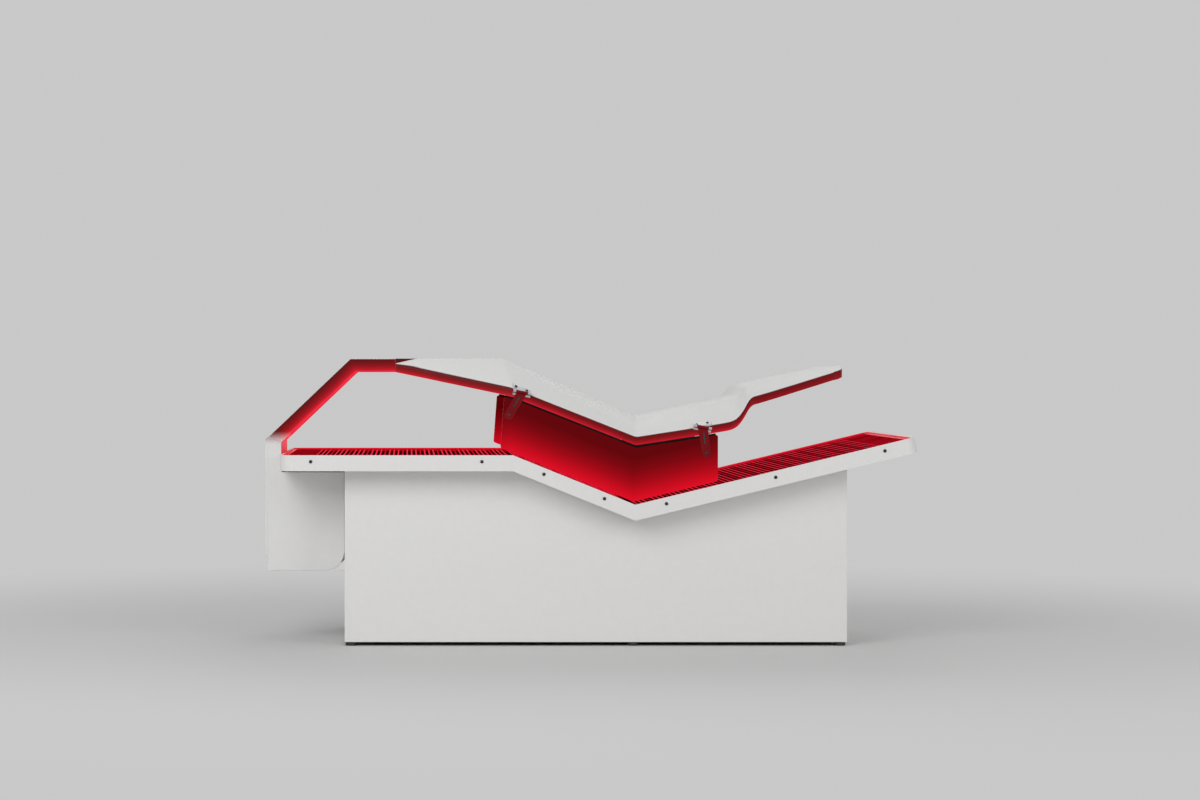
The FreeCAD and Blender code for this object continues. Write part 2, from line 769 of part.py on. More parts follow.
def end_panels():
    """End sheets: bracket windows and hinge cheeks at the foot, fans and power at the head."""
    foot = new_body("foot_end_sheet", False)
    end_plate(foot, "foot_sheet", "base_foot_x", "base_foot_z")
    inner = "(bracket_inner - bracket_flange_side - bracket_window_gap)"
    outer = "(bracket_outer + bracket_flange_side + bracket_window_gap)"
    tall = "(bracket_flange_half + bracket_window_gap)"
    low = "pivot_height - " + tall
    high = "pivot_height + " + tall
    windows = [rectangle(inner, outer, low, high), rectangle("-" + outer, "-" + inner, low, high)]
    end_holes(foot, "bracket_windows", windows, [])
    parts = [foot]
    cheek = [
        ("pivot_x + cheek_toe", "box_bottom"),
        ("base_foot_x", "box_bottom"),
        ("base_foot_x", "pivot_height + cheek_top"),
    ]
    for side, offset in (("left", "canopy_half - cheek_thick"), ("right", "-canopy_half")):
        corner = new_body("hinge_cheek_" + side, False)
        side_plate(corner, "Pad", "cheek_block_" + side, cheek, offset, "cheek_thick")
        parts.append(corner)
    group = doc.addObject("Part::Compound", "foot_end_panel")
    group.Links = parts
    as_node(group)
    head = new_body("head_end_panel")
    end_plate(head, "head_sheet", "base_head_x - panel_gauge", "base_head_z")
    half_inlet = "(inlet_width / 2 + hole_clearance)"
    tall_inlet = "(inlet_height / 2 + hole_clearance)"
    half_switch = "(switch_width / 2 + hole_clearance)"
    tall_switch = "(switch_height / 2 + hole_clearance)"
    cuts = [
        rectangle("-" + half_inlet, half_inlet,
                  "power_height - " + tall_inlet, "power_height + " + tall_inlet),
        rectangle("switch_offset - " + half_switch, "switch_offset + " + half_switch,
                  "power_height - " + tall_switch, "power_height + " + tall_switch),
    ]
    fans = [("fan_spread", "fan_height", "fan_bore / 2"), ("-fan_spread", "fan_height", "fan_bore / 2")]
    end_holes(head, "head_openings", cuts, fans)


def floor_pan():
    """Sheet on the bottom cross rails that carries the supplies."""
    body = new_body("floor_pan")
    sketch = new_sketch(body, "pan_sketch", "XY", "pan_bottom")
    add_outline(sketch, rectangle("frame_foot_x", "frame_head_x", "pan_gap - frame_clear",
                                  "frame_clear - pan_gap"))
    extrude(body, "Pad", "pan_sheet", sketch, "pan_gauge", False)


# Supplies, fans and power entry


def power_supplies():
    """A long boxed LED supply along each side of the floor pan."""
    for label, y in (("left", "-supply_spread"), ("right", "supply_spread")):
        low = ("hip_x - supply_length / 2", "%s - supply_width / 2" % y, "pan_top")
        high = ("hip_x + supply_length / 2", "%s + supply_width / 2" % y, "pan_top + supply_height")
        as_node(block("power_supply_" + label, low, high))


def control_box():
    """The box that holds the control board and the dimmers, on the floor pan."""
    low = ("hip_x - control_length / 2", "-control_width / 2", "pan_top")
    high = ("hip_x + control_length / 2", "control_width / 2", "pan_top + control_height")
    as_node(block("control_box", low, high))


def fan_housing(label, y):
    """Square fan frame with a hub on four struts and a pin for the rotor."""
    back = "frame_head_x - fan_depth"
    half = "fan_side / 2"
    bar = "fan_strut / 2"
    frame = block(label + "_frame", (back, "%s - %s" % (y, half), "fan_height - " + half),
                  ("frame_head_x", "%s + %s" % (y, half), "fan_height + " + half))
    bore = rod(label + "_bore", "fan_bore / 2", "3 * fan_depth",
               ("frame_head_x - 2 * fan_depth", y, "fan_height"), ALONG_X)
    ring = combined("Cut", label + "_ring", frame, [bore])
    hub = rod(label + "_hub", "fan_hub / 2", "fan_hub_depth", (back, y, "fan_height"), ALONG_X)
    pin = rod(label + "_pin", "fan_pin / 2", "fan_pin_length", (back, y, "fan_height"), ALONG_X)
    level = block(label + "_level", (back, "%s - %s" % (y, half), "fan_height - " + bar),
                  (back + " + fan_strut_depth", "%s + %s" % (y, half), "fan_height + " + bar))
    upright = block(label + "_upright", (back, "%s - %s" % (y, bar), "fan_height - " + half),
                    (back + " + fan_strut_depth", "%s + %s" % (y, bar), "fan_height + " + half))
    as_node(combined("Fuse", label, ring, [hub, pin, level, upright]))


def fan_rotor(label, y):
    """Rotor: a hub on the pin with pitched blades that end just inside the fan's bore."""
    start = value("frame_head_x - fan_depth + fan_hub_depth + rotor_gap")
    depth = value("rotor_depth")
    centre = Vector(start, value(y), value("fan_height"))
    chord = value("blade_chord")
    thick = value("blade_thick")
    blade = Part.makeBox(chord, thick, value("fan_bore / 2"), Vector(-chord / 2, -thick / 2, 0))
    blade.rotate(Vector(), Vector(0, 0, 1), value("blade_pitch"))
    hub = Part.makeCylinder(value("fan_hub / 2"), depth, centre, ALONG_X)
    sweep = Part.makeCylinder(value("fan_bore / 2 - fan_tip_gap"), depth, centre, ALONG_X)
    shape = hub
    for number in range(round(value("fan_blades"))):
        copy = blade.copy()
        copy.rotate(Vector(), ALONG_X, 360 / value("fan_blades") * number)
        copy.translate(centre + ALONG_X * (depth / 2))
        shape = shape.fuse(copy.common(sweep))
    bore = Part.makeCylinder(value("fan_pin / 2 + running_clearance"), 3 * depth,
                             centre - ALONG_X * depth, ALONG_X)
    new_feature(label, shape.cut(bore).removeSplitter())


def fan_guards():
    """Wire finger guards over both fan openings."""
    guards = []
    wire = value("guard_wire / 2")
    face = value("base_head_x") + wire
    outer = value("fan_bore / 2 + guard_wire")
    for y in ("-fan_spread", "fan_spread"):
        centre = Vector(face, value(y), value("fan_height"))
        shape = Part.makeTorus(outer, wire, centre, ALONG_X)
        for number in range(1, round(value("guard_rings"))):
            ring = Part.makeTorus(outer - number * value("guard_pitch"), wire, centre, ALONG_X)
            shape = shape.fuse(ring)
        for direction in (Vector(0, 1, 0), Vector(0, 0, 1)):
            bar = Part.makeCylinder(wire, 2 * outer, centre - direction * outer, direction)
            shape = shape.fuse(bar)
        guards.append(shape)
    new_feature("fan_guards", Part.makeCompound(guards))


def mains_inlet():
    """Flush power inlet: flange outside, body through the sheet, three prongs in its well."""
    def box_round(name, back, front, over):
        """A box round the inlet's middle, larger than its body by a margin on each side."""
        half = "(inlet_width / 2 + %s)" % over
        tall = "(inlet_height / 2 + %s)" % over
        return block(name, (back, "-" + half, "power_height - " + tall),
                     (front, half, "power_height + " + tall))

    body = box_round("inlet_body", "base_head_x - inlet_depth", "base_head_x", "0")
    flange = box_round("inlet_rim", "base_head_x", "base_head_x + inlet_flange", "inlet_overlap")
    solid = combined("Fuse", "inlet_solid", body, [flange])
    well = box_round("inlet_hole", "base_head_x - inlet_well", "base_head_x + 2 * inlet_flange",
                     "(-inlet_wall)")
    hollow = combined("Cut", "inlet_hollow", solid, [well])
    places = [("-prong_spread", "-prong_low"), ("prong_spread", "-prong_low"), ("0", "prong_high")]
    prongs = []
    for number, (y, z) in enumerate(places, start=1):
        low = ("base_head_x - inlet_depth", y + " - prong_thick / 2",
               "power_height + %s - prong_height / 2" % z)
        high = ("base_head_x - prong_setback", y + " + prong_thick / 2",
                "power_height + %s + prong_height / 2" % z)
        prongs.append(block("inlet_prong_%d" % number, low, high))
    as_node(combined("Fuse", "mains_inlet", hollow, prongs))


def mains_switch():
    """Rocker switch: a well in the sheet with a rocker on two trunnions."""
    def box_round(name, back, front, over):
        """A box round the switch's middle, larger than its body by a margin on each side."""
        half = "(switch_width / 2 + %s)" % over
        tall = "(switch_height / 2 + %s)" % over
        return block(name, (back, "switch_offset - " + half, "power_height - " + tall),
                     (front, "switch_offset + " + half, "power_height + " + tall))

    body = box_round("switch_body", "base_head_x - switch_depth", "base_head_x", "0")
    flange = box_round("switch_lip", "base_head_x", "base_head_x + switch_wall", "switch_wall")
    solid = combined("Fuse", "switch_solid", body, [flange])
    well = box_round("switch_well", "base_head_x - switch_depth + switch_wall",
                     "base_head_x + 2 * switch_wall", "(-switch_wall)")
    hollow = combined("Cut", "switch_hollow", solid, [well])
    axle = rod("switch_axle", "rocker_pin + running_clearance", "2 * switch_width",
               ("base_head_x", "switch_offset - switch_width", "power_height"), ALONG_Y)
    as_node(combined("Cut", "switch_housing", hollow, [axle]))
    span = value("switch_width / 2 - switch_wall - rocker_gap")
    reach = value("switch_height / 2 - switch_wall - rocker_gap - rocker_play")
    face = value("switch_wall")
    raised = face + value("rocker_dish")
    depth = value("rocker_depth")
    back = value("rocker_back / 2")
    points = [(-depth, -back), (raised, -reach), (face, 0), (raised, reach), (-depth, back)]
    wire = Part.makePolygon([Vector(x, -span, z) for x, z in points + points[:1]])
    key = Part.Face(wire).extrude(Vector(0, 2 * span, 0))
    trunnion = Part.makeCylinder(value("rocker_pin"), value("switch_width"),
                                 Vector(0, value("-switch_width / 2"), 0), ALONG_Y)
    rocker = key.fuse(trunnion).removeSplitter()
    rocker.rotate(Vector(), ALONG_Y, value("rocker_tilt"))
    rocker.translate(Vector(value("base_head_x"), value("switch_offset"), value("power_height")))
    new_feature("switch_rocker", rocker)


# Canopy hinge and its drive


def pivot_brackets():
    """Two bracket arms from the cabinet's hinge beam, each with a bush for the shaft."""
    for label, low, high in (("left", "-bracket_outer", "-bracket_inner"),
                             ("right", "bracket_inner", "bracket_outer")):
        name = "pivot_bracket_" + label
        arm = block(name + "_arm", ("pivot_x", low, "pivot_height - bracket_half"),
                    ("frame_foot_x", high, "pivot_height + bracket_half"))
        eye = rod(name + "_eye", "bracket_half", "bracket_thick", ("pivot_x", low, "pivot_height"), ALONG_Y)
        flange = block(name + "_flange", ("frame_foot_x - bracket_flange", low + " - bracket_flange_side",
                                          "pivot_height - bracket_flange_half"),
                       ("frame_foot_x", high + " + bracket_flange_side",
                        "pivot_height + bracket_flange_half"))
        solid = combined("Fuse", name + "_solid", arm, [eye, flange])
        bore = rod(name + "_bore", "bush_radius + fit_clearance", "3 * bracket_thick",
                   ("pivot_x", low + " - bracket_thick", "pivot_height"), ALONG_Y)
        as_node(combined("Cut", name, solid, [bore]))
        outside = rod("bush_outside_" + label, "bush_radius", "bracket_thick",
                      ("pivot_x", low, "pivot_height"), ALONG_Y)
        inside = rod("bush_inside_" + label, "shaft_diameter / 2 + running_clearance", "3 * bracket_thick",
                     ("pivot_x", low + " - bracket_thick", "pivot_height"), ALONG_Y)
        as_node(combined("Cut", "pivot_bush_" + label, outside, [inside]))


def lift_gearmotor():
    """Worm gearbox round the shaft between the brackets, with its motor to the foot side."""
    start = "-gearbox_length / 2"
    gearbox = rod("gearbox", "gearbox_diameter / 2", "gearbox_length",
                  ("pivot_x", start, "pivot_height"), ALONG_Y)
    motor = rod("lift_motor", "motor_diameter / 2", "motor_reach",
                ("pivot_x - motor_reach", "0", "pivot_height"), ALONG_X)
    solid = combined("Fuse", "gearmotor_solid", gearbox, [motor])
    bore = rod("gearbox_bore", "shaft_diameter / 2 + gearbox_bore_gap", "2 * gearbox_length",
               ("pivot_x", "-gearbox_length", "pivot_height"), ALONG_Y)
    as_node(combined("Cut", "lift_gearmotor", solid, [bore]))


def hinge_shaft():
    """Shaft that turns with the canopy, with a flanged hub on each of its ends."""
    reach = "(canopy_half - shell_wall - shaft_end_gap)"
    as_node(rod("hinge_shaft", "shaft_diameter / 2", "2 * " + reach,
                ("pivot_x", "-" + reach, "pivot_height"), ALONG_Y))
    wall = "canopy_half - shell_wall"
    for label, flange_y, boss_y in (("left", "-(%s)" % wall, "-(%s)" % wall),
                                    ("right", wall + " - hub_flange_thick", wall + " - hub_length")):
        flange = rod("hub_flange_" + label, "hub_flange / 2", "hub_flange_thick",
                     ("pivot_x", flange_y, "pivot_height"), ALONG_Y)
        boss = rod("hub_boss_" + label, "hub_boss / 2", "hub_length",
                   ("pivot_x", boss_y, "pivot_height"), ALONG_Y)
        solid = combined("Fuse", "hub_solid_" + label, flange, [boss])
        bore = rod("hub_bore_" + label, "shaft_diameter / 2 + fit_clearance", "canopy_width",
                   ("pivot_x", "-canopy_half" if label == "left" else "0", "pivot_height"), ALONG_Y)
        as_node(combined("Cut", "canopy_hub_" + label, solid, [bore]))


# Canopy shells


def slant_z(x, depth):
    """Formula of the height on the slant, at a depth below its outer face."""
    return "(slant_start + (%s - outer_x) * tan(slant_angle) - (%s) / cos(slant_angle))" % (x, depth)


def roof_corner_x(depth):
    """Formula of the place where the slant meets the roof, at a depth below the outer face."""
    rise = "(roof_height - (%s) - slant_start + (%s) / cos(slant_angle))" % (depth, depth)
    return "(outer_x + %s / tan(slant_angle))" % rise


def hood_layer(start, end, top, bottom):
    """A layer of the hood's foot part, from the slant to the roof, between two depths."""
    def line(depth):
        return [
            (start, slant_z(start, depth)),
            (roof_corner_x(depth), "roof_height - (%s)" % depth),
            (end, "roof_height - (%s)" % depth),
        ]
    return line(top) + line(bottom)[::-1]


def foot_box():
    """Lower end of the canopy: a column behind the tray's end with a box round the hinge."""
    body = new_body("foot_box")
    outside = [
        ("outer_x", "box_bottom"),
        ("box_end_x", "box_bottom"),
        ("box_end_x", "box_top"),
        ("inner_x", "box_top"),
        ("inner_x", "inner_start"),
        ("outer_x", "slant_start"),
    ]
    prism(body, "Pad", "box_block", outside, "canopy_width")
    round_edges(body, "box_nose", across_at([(value("box_end_x"), value("box_bottom"))]))
    past_end = "box_end_x + 2 * shell_wall"
    inside = [
        ("outer_x + shell_wall", "box_bottom + shell_wall"),
        (past_end, "box_bottom + shell_wall"),
        (past_end, "box_top - shell_wall"),
        ("inner_x - shell_wall", "box_top - shell_wall"),
        ("inner_x - shell_wall", "slant_start + slab_thick"),
        ("outer_x + shell_wall", "slant_start + slab_thick"),
    ]
    prism(body, "Pocket", "box_hollow", inside, "canopy_width - 2 * shell_wall")
    relief = rectangle("pivot_x - shell_wall", past_end,
                       "box_bottom - shell_wall", "box_bottom + 2 * shell_wall")
    prism(body, "Pocket", "box_relief", relief, "canopy_width - 2 * shell_wall")


def cover_screw_places():
    """Formulas of the cover screws' places in the end view."""
    across = "(canopy_half - cover_screw_inset)"
    low = "cover_bottom + cover_screw_inset"
    high = "slant_start - cover_screw_top"
    return [(side + across, z) for side in ("-", "") for z in (low, high)]


def end_cover():
    """Cover plate on the outer face of the foot column, with its screws."""
    body = new_body("end_cover")
    face = "outer_x - cover_thick"
    outline = [
        (face, "cover_bottom"),
        ("outer_x", "cover_bottom"),
        ("outer_x", "slant_start"),
        (face, "slant_start - cover_thick * tan(slant_angle)"),
    ]
    prism(body, "Pad", "cover_plate", outline, "canopy_width - 2 * cover_margin")
    holes = [(y, z, "screw_shank / 2 + hole_clearance") for y, z in cover_screw_places()]
    end_holes(body, "cover_holes", [], holes)
    sunk = new_sketch(body, "cover_sink_sketch", "YZ", "outer_x - cover_thick + screw_head_height")
    for y, z in cover_screw_places():
        add_circle(sunk, y, z, "rim_screw_head / 2 + hole_clearance")
    extrude(body, "Pocket", "cover_sinks", sunk, "4 * cover_thick", False)
    screws = []
    for y, z in cover_screw_places():
        point = Vector(value(face + " + screw_head_height"), value(y), value(z))
        screws.append(screw(point, Vector(-1, 0, 0), value("rim_screw_head"), value("screw_head_height"),
                            value("screw_shank"), value("cover_thick - screw_head_height")))
    new_feature("cover_screws", Part.makeCompound(screws))


def canopy_foot_shell():
    """Hood over the feet: slant and flat roof as a channel that is open inwards."""
    body = new_body("canopy_foot_shell")
    outside = [
        ("outer_x", "slant_start"),
        (roof_corner_x("0"), "roof_height"),
        ("seam_x", "roof_height"),
        ("seam_x", "roof_height - slab_thick"),
        (roof_corner_x("slab_thick"), "roof_height - slab_thick"),
        ("inner_x", "inner_start"),
    ]
    prism(body, "Pad", "hood_block", outside, "canopy_width")
    start = "(inner_x + underside_inset)"
    past_seam = "(seam_x + slab_thick)"
    past_face = "1.5 * slab_thick"
    recess = hood_layer(start, past_seam, "slab_thick - canopy_lens_thick", past_face)
    prism(body, "Pocket", "hood_lens_recess", recess, "2 * (canopy_lens_half + lens_gap)")
    hollow = hood_layer("(%s + canopy_ledge)" % start, past_seam, "shell_wall", past_face)
    prism(body, "Pocket", "hood_hollow", hollow, "2 * (canopy_lens_half - canopy_ledge)")
    lens = new_body("canopy_lens_foot")
    layer = hood_layer("(%s + lens_gap)" % start, "seam_x", "slab_thick - canopy_lens_thick", "slab_thick")
    prism(lens, "Pad", "hood_lens_plate", layer, "2 * canopy_lens_half")


def crease_z(x):
    """Formula of the canopy's crease height over the back."""
    return "(crease_hip_z + (%s - crease_hip_x) * tan(crease_back_angle))" % x


def crease_band(start, end, top, bottom):
    """A band along the canopy's crease line between two drops."""
    def line(drop):
        return [
            (start, "roof_height - (%s)" % drop),
            ("crease_knee_x", "roof_height - (%s)" % drop),
            ("crease_hip_x", "crease_hip_z - (%s)" % drop),
            (end, "%s - (%s)" % (crease_z(end), drop)),
        ]
    return line(top) + line(bottom)[::-1]


def station(crease_x, crease_height, edge_x, edge_low, edge_half):
    """One ring of the winged shell: crease, wing edge and underside on both sides."""
    half = value("canopy_half")
    under = half - value("underside_inset")
    low = crease_height - value("slab_thick")
    band = edge_low + value("wing_band")
    right = [
        Vector(crease_x, half, crease_height),
        Vector(edge_x, edge_half, band),
        Vector(edge_x, edge_half, edge_low),
        Vector(crease_x, under, low),
    ]
    left = [Vector(point.x, -point.y, point.z) for point in right]
    return right + left[::-1]


def skin(rings):
    """A closed solid through rings of points, with a flat cap on each end."""
    faces = []
    for ring in (rings[0], rings[-1]):
        faces.append(Part.Face(Part.makePolygon(ring + ring[:1])))
    count = len(rings[0])
    for near, far in zip(rings, rings[1:]):
        for place in range(count):
            after = (place + 1) % count
            first = Part.LineSegment(near[place], near[after]).toShape()
            second = Part.LineSegment(far[place], far[after]).toShape()
            faces.append(Part.makeRuledSurface(first, second))
    shell = Part.makeShell(faces)
    shell.sewShape()
    solid = Part.makeSolid(shell)
    if solid.Volume < 0:
        solid.reverse()
    return solid


def slab_cut(corners, half):
    """A prism across the bed, as a shape to cut with."""
    points = [Vector(value(x), -half, value(z)) for x, z in corners]
    face = Part.Face(Part.makePolygon(points + points[:1]))
    return face.extrude(Vector(0, 2 * half, 0))


def visor_ring():
    """The ring where the visor meets the winged shell."""
    x = value("visor_x")
    return station(x, value("visor_z"), x, value("visor_wing_z"), value("visor_half"))


# The step's curve from the wings up to the visor, as shares of its length and rise:
# crease place, crease rise, wing place, wing rise and how far the wing has drawn in
STEP_CURVE = (
    (0.00, 0.0, -0.22, 0.11, 0.0),
    (0.25, 0.5, 0.18, 0.43, 0.5),
    (0.50, 1.0, 0.57, 0.93, 1.0),
)


def step_rings():
    """The rings of the step between the wings and the visor."""
    wing = value("wing_half")
    draw_in = wing - value("visor_half")
    start = value("step_x")
    length = value("step_length")
    rings = []
    for crease_place, crease_rise, wing_place, wing_rise, share in STEP_CURVE:
        crease_height = value("step_z") + value("step_rise") * crease_rise
        edge_low = value("wing_end_z") + value("step_wing_rise") * wing_rise
        rings.append(station(start + length * crease_place, crease_height,
                             start + length * wing_place, edge_low, wing - draw_in * share))
    return rings


def canopy_body_shell():
    """Winged shell from the seam to the step at the visor, open inwards over the lights."""
    crease_end = "(step_x - step_length / 2)"
    spots = [
        ("seam_x", "roof_height", "seam_x", "roof_height - slab_thick", "wing_root"),
        ("crease_knee_x", "roof_height", "wing_knee_x", "wing_knee_z", "wing_half"),
        ("crease_hip_x", "crease_hip_z", "wing_hip_x", "wing_hip_z", "wing_half"),
        (crease_end, crease_z(crease_end), "wing_end_x", "wing_end_z", "wing_half"),
    ]
    rings = [station(*[value(formula) for formula in spot]) for spot in spots]
    solid = skin(rings + step_rings() + [visor_ring()])
    start = "(seam_x - slab_thick)"
    end = "(step_x - step_length)"
    past_face = "1.5 * slab_thick"
    hollow = crease_band(start, end + " - canopy_ledge", "shell_wall", past_face)
    recess = crease_band(start, end, "slab_thick - canopy_lens_thick", past_face)
    solid = solid.cut(slab_cut(hollow, value("canopy_lens_half - canopy_ledge")))
    solid = solid.cut(slab_cut(recess, value("canopy_lens_half + lens_gap")))
    new_feature("canopy_body_shell", solid)
    lens = new_body("canopy_lens_body")
    layer = crease_band("seam_x", end + " - lens_gap", "slab_thick - canopy_lens_thick", "slab_thick")
    prism(lens, "Pad", "wing_lens_plate", layer, "2 * canopy_lens_half")


def canopy_boards():
    """Metal-core LED boards under the canopy's skin, one for each flat of the hood."""
    top = "shell_wall"
    low = "shell_wall + canopy_board"
    start = "(inner_x + underside_inset + board_end_gap)"
    end = "(%s - board_bend_gap)" % roof_corner_x(low)
    thigh_slope = "(roof_height - crease_hip_z) / (crease_hip_x - crease_knee_x)"

    def thigh(x):
        return "(roof_height - (%s - crease_knee_x) * %s)" % (x, thigh_slope)

    spans = {
        "slant": (start, end, slant_z(start, top), slant_z(end, top), slant_z(start, low), slant_z(end, low)),
    }
    flats = {
        "roof": ("(%s + board_bend_gap)" % roof_corner_x(top), "(crease_knee_x - board_side_gap)",
                 lambda x: "roof_height"),
        "thigh": ("(crease_knee_x + board_side_gap)", "(crease_hip_x - board_side_gap)", thigh),
        "back": ("(crease_hip_x + board_side_gap)", "(step_x - step_length - board_end_gap)", crease_z),
    }
    for name, (left, right, line) in flats.items():
        spans[name] = (left, right, line(left) + " - " + top, line(right) + " - " + top,
                       "%s - (%s)" % (line(left), low), "%s - (%s)" % (line(right), low))
    for name, (left, right, left_top, right_top, left_low, right_low) in spans.items():
        body = new_body("canopy_board_" + name)
        corners = [(left, left_top), (right, right_top), (right, right_low), (left, left_low)]
        width = "2 * (canopy_lens_half - canopy_ledge - board_side_gap)"
        prism(body, "Pad", body.Label + "_plate", corners, width)


def visor():
    """Visor over the face: the hood's raised end, hollow towards the winged shell."""
    end_x = value("visor_end_x")
    end_low = value("visor_wing_z + visor_length * tan(visor_wing_angle)")
    solid = skin([visor_ring(), station(end_x, value("visor_end_z"), end_x, end_low, value("visor_half"))])
    close = "(visor_end_x - visor_end_wall)"
    top_close = "visor_z + (%s - visor_x) * tan(visor_angle)" % close
    hollow = [
        ("visor_x - visor_wall", "visor_z - visor_wall"),
        (close, top_close + " - visor_wall"),
        (close, top_close + " - slab_thick + visor_wall"),
        ("visor_x - visor_wall", "visor_z - slab_thick + visor_wall"),
    ]
    solid = solid.cut(slab_cut(hollow, value("canopy_lens_half")))
    new_feature("visor", solid)


# Side shields and their hinges

HINGES = (("knuckle_foot_x", "knuckle_foot_z", 1), ("knuckle_head_x", "knuckle_head_z", -1))


def strap_screw_places():
    """Formulas of the strap screws' places in the side view."""
    places = []
    for x, z, lean in HINGES:
        turn = "(axis_angle - 90 - %d * strap_splay)" % lean
        for reach in ("strap_screw_near", "(strap_screw_near + strap_screw_pitch)"):
            places.append(("%s + %s * cos%s" % (x, reach, turn), "%s + %s * sin%s" % (z, reach, turn)))
    return places


def shields():
    """Frosted side shields that hang below the wing edges."""
    knee_line = "(roof_height - slab_thick - wing_knee_z) / (wing_knee_x - seam_x)"
    lead_x = "(knee_x - shield_lead + shield_lean)"
    outline = [
        (lead_x, "wing_knee_z + (wing_knee_x - %s) * %s - shield_top_gap" % (lead_x, knee_line)),
        ("wing_knee_x", "wing_knee_z - shield_top_gap"),
        ("wing_hip_x", "wing_hip_z - shield_top_gap"),
        ("shield_end_x", "shield_end_z - shield_top_gap"),
        ("shield_end_x", back_z("shield_end_x") + " + shield_deck_gap"),
        ("hip_x", "hip_z + shield_deck_gap"),
        ("knee_x - shield_lead", "deck_height + shield_lead_rise"),
    ]
    corners = [(value(x), value(z)) for x, z in (outline[0], outline[3], outline[4], outline[6])]
    for label, offset in (("left", "shield_inner"), ("right", "-shield_inner - shield_thick")):
        body = new_body("side_shield_" + label)
        side_plate(body, "Pad", "shield_sheet_" + label, outline, offset, "shield_thick")
        round_edges(body, "shield_corner", across_at(corners))
        sketch = new_sketch(body, "shield_hole_sketch_" + label, "XZ", "0")
        for x, z in strap_screw_places():
            add_circle(sketch, x, z, "screw_shank / 2 + hole_clearance")
        extrude(body, "Pocket", "shield_holes_" + label, sketch, "2 * tray_width", True)


def hinge_place(shape, x, z, side):
    """Turns a shape drawn at a level hinge into place, on one side of the bed."""
    placed = shape.copy()
    placed.rotate(Vector(), ALONG_Y, -value("axis_angle"))
    placed.translate(Vector(value(x), 0, value(z)))
    return placed if side < 0 else placed.mirror(Vector(), ALONG_Y)


def hinge_rod(radius, start, length):
    """A cylinder along the level hinge's axis, on the left side of the bed."""
    return Part.makeCylinder(radius, length, Vector(start, -value("axis_y"), 0), ALONG_X)


def strap(lean):
    """Strap arm of a level hinge: barrel on the pin and a rounded arm on the shield."""
    width = value("strap_width")
    length = value("strap_length")
    thick = value("strap_thick")
    face = -value("shield_inner + shield_thick")
    half = width / 2
    arm = Part.makeBox(width, thick, length - half, Vector(-half, face - thick, half - length))
    tip = Part.makeCylinder(half, thick, Vector(0, face - thick, half - length), ALONG_Y)
    arm = arm.fuse(tip)
    for reach in (value("strap_screw_near"), value("strap_screw_near + strap_screw_pitch")):
        hole = Part.makeCylinder(value("screw_shank / 2 + hole_clearance"), 3 * thick,
                                 Vector(0, face - 2 * thick, -reach), ALONG_Y)
        arm = arm.cut(hole)
    arm.rotate(Vector(), ALONG_Y, lean * value("strap_splay"))
    barrel_half = half + value("barrel_over")
    barrel = hinge_rod(value("knuckle_radius"), -barrel_half, 2 * barrel_half)
    bore = hinge_rod(value("pin_radius + running_clearance"), -width, 2 * width)
    return arm.fuse(barrel).cut(bore).removeSplitter()


def leaf():
    """Leaf of a level hinge: plate on the wing's edge with an ear on each end of the pin."""
    start = value("strap_width / 2 + barrel_over + ear_gap")
    ear = value("ear_length")
    radius = value("knuckle_radius")
    wall = value("wing_half")
    thick = value("leaf_thick")
    reach = start + ear
    low = radius - value("leaf_height")
    shape = Part.makeBox(2 * reach, thick, value("leaf_height"), Vector(-reach, -wall - thick, low))
    for left in (-reach, start):
        web = Part.makeBox(ear, value("axis_stand"), 2 * radius,
                           Vector(left, -wall - value("axis_stand"), -radius))
        shape = shape.fuse(web).fuse(hinge_rod(radius, left, ear))
    shape = shape.cut(hinge_rod(value("pin_radius + fit_clearance"), -2 * reach, 4 * reach))
    for side in (-1, 1):
        hole = Part.makeCylinder(value("leaf_screw_shank / 2 + hole_clearance"), 3 * thick,
                                 Vector(side * value("leaf_screw_spread"), -wall - 2 * thick,
                                        -value("leaf_screw_drop")), ALONG_Y)
        shape = shape.cut(hole)
    return shape.removeSplitter()


def leaf_screw(side):
    """One screw of a level hinge's leaf; its shank ends at the wing's face."""
    thick = value("leaf_thick")
    point = Vector(side * value("leaf_screw_spread"), -value("wing_half") - thick, -value("leaf_screw_drop"))
    return screw(point, Vector(0, -1, 0), value("hinge_screw_head"), value("hinge_screw_rise"),
                 value("leaf_screw_shank"), thick)


def shield_hinges():
    """Leaves and pins on the canopy's wings, straps and screws on the shields."""
    leaf_screws = []
    reach = value("strap_width / 2 + barrel_over + ear_gap + ear_length")
    pin = hinge_rod(value("pin_radius"), -reach, 2 * reach)
    for label, side in (("left", -1), ("right", 1)):
        leaves = []
        pins = []
        straps = []
        for x, z, lean in HINGES:
            leaves.append(hinge_place(leaf(), x, z, side))
            pins.append(hinge_place(pin, x, z, side))
            straps.append(hinge_place(strap(lean), x, z, side))
            for place in (-1, 1):
                leaf_screws.append(hinge_place(leaf_screw(place), x, z, side))
        new_feature("hinge_leaves_" + label, Part.makeCompound(leaves))
        new_feature("hinge_pins_" + label, Part.makeCompound(pins))
        new_feature("hinge_straps_" + label, Part.makeCompound(straps))
        screws = []
        outer = side * value("shield_inner + shield_thick + strap_thick")
        for x, z in strap_screw_places():
            point = Vector(value(x), outer, value(z))
            screws.append(screw(point, Vector(0, side, 0), value("hinge_screw_head"),
                                value("hinge_screw_rise"), value("screw_shank"),
                                value("strap_thick + shield_thick")))
        new_feature("strap_screws_" + label, Part.makeCompound(screws))
    new_feature("leaf_screws", Part.makeCompound(leaf_screws))


# Build every sub-part

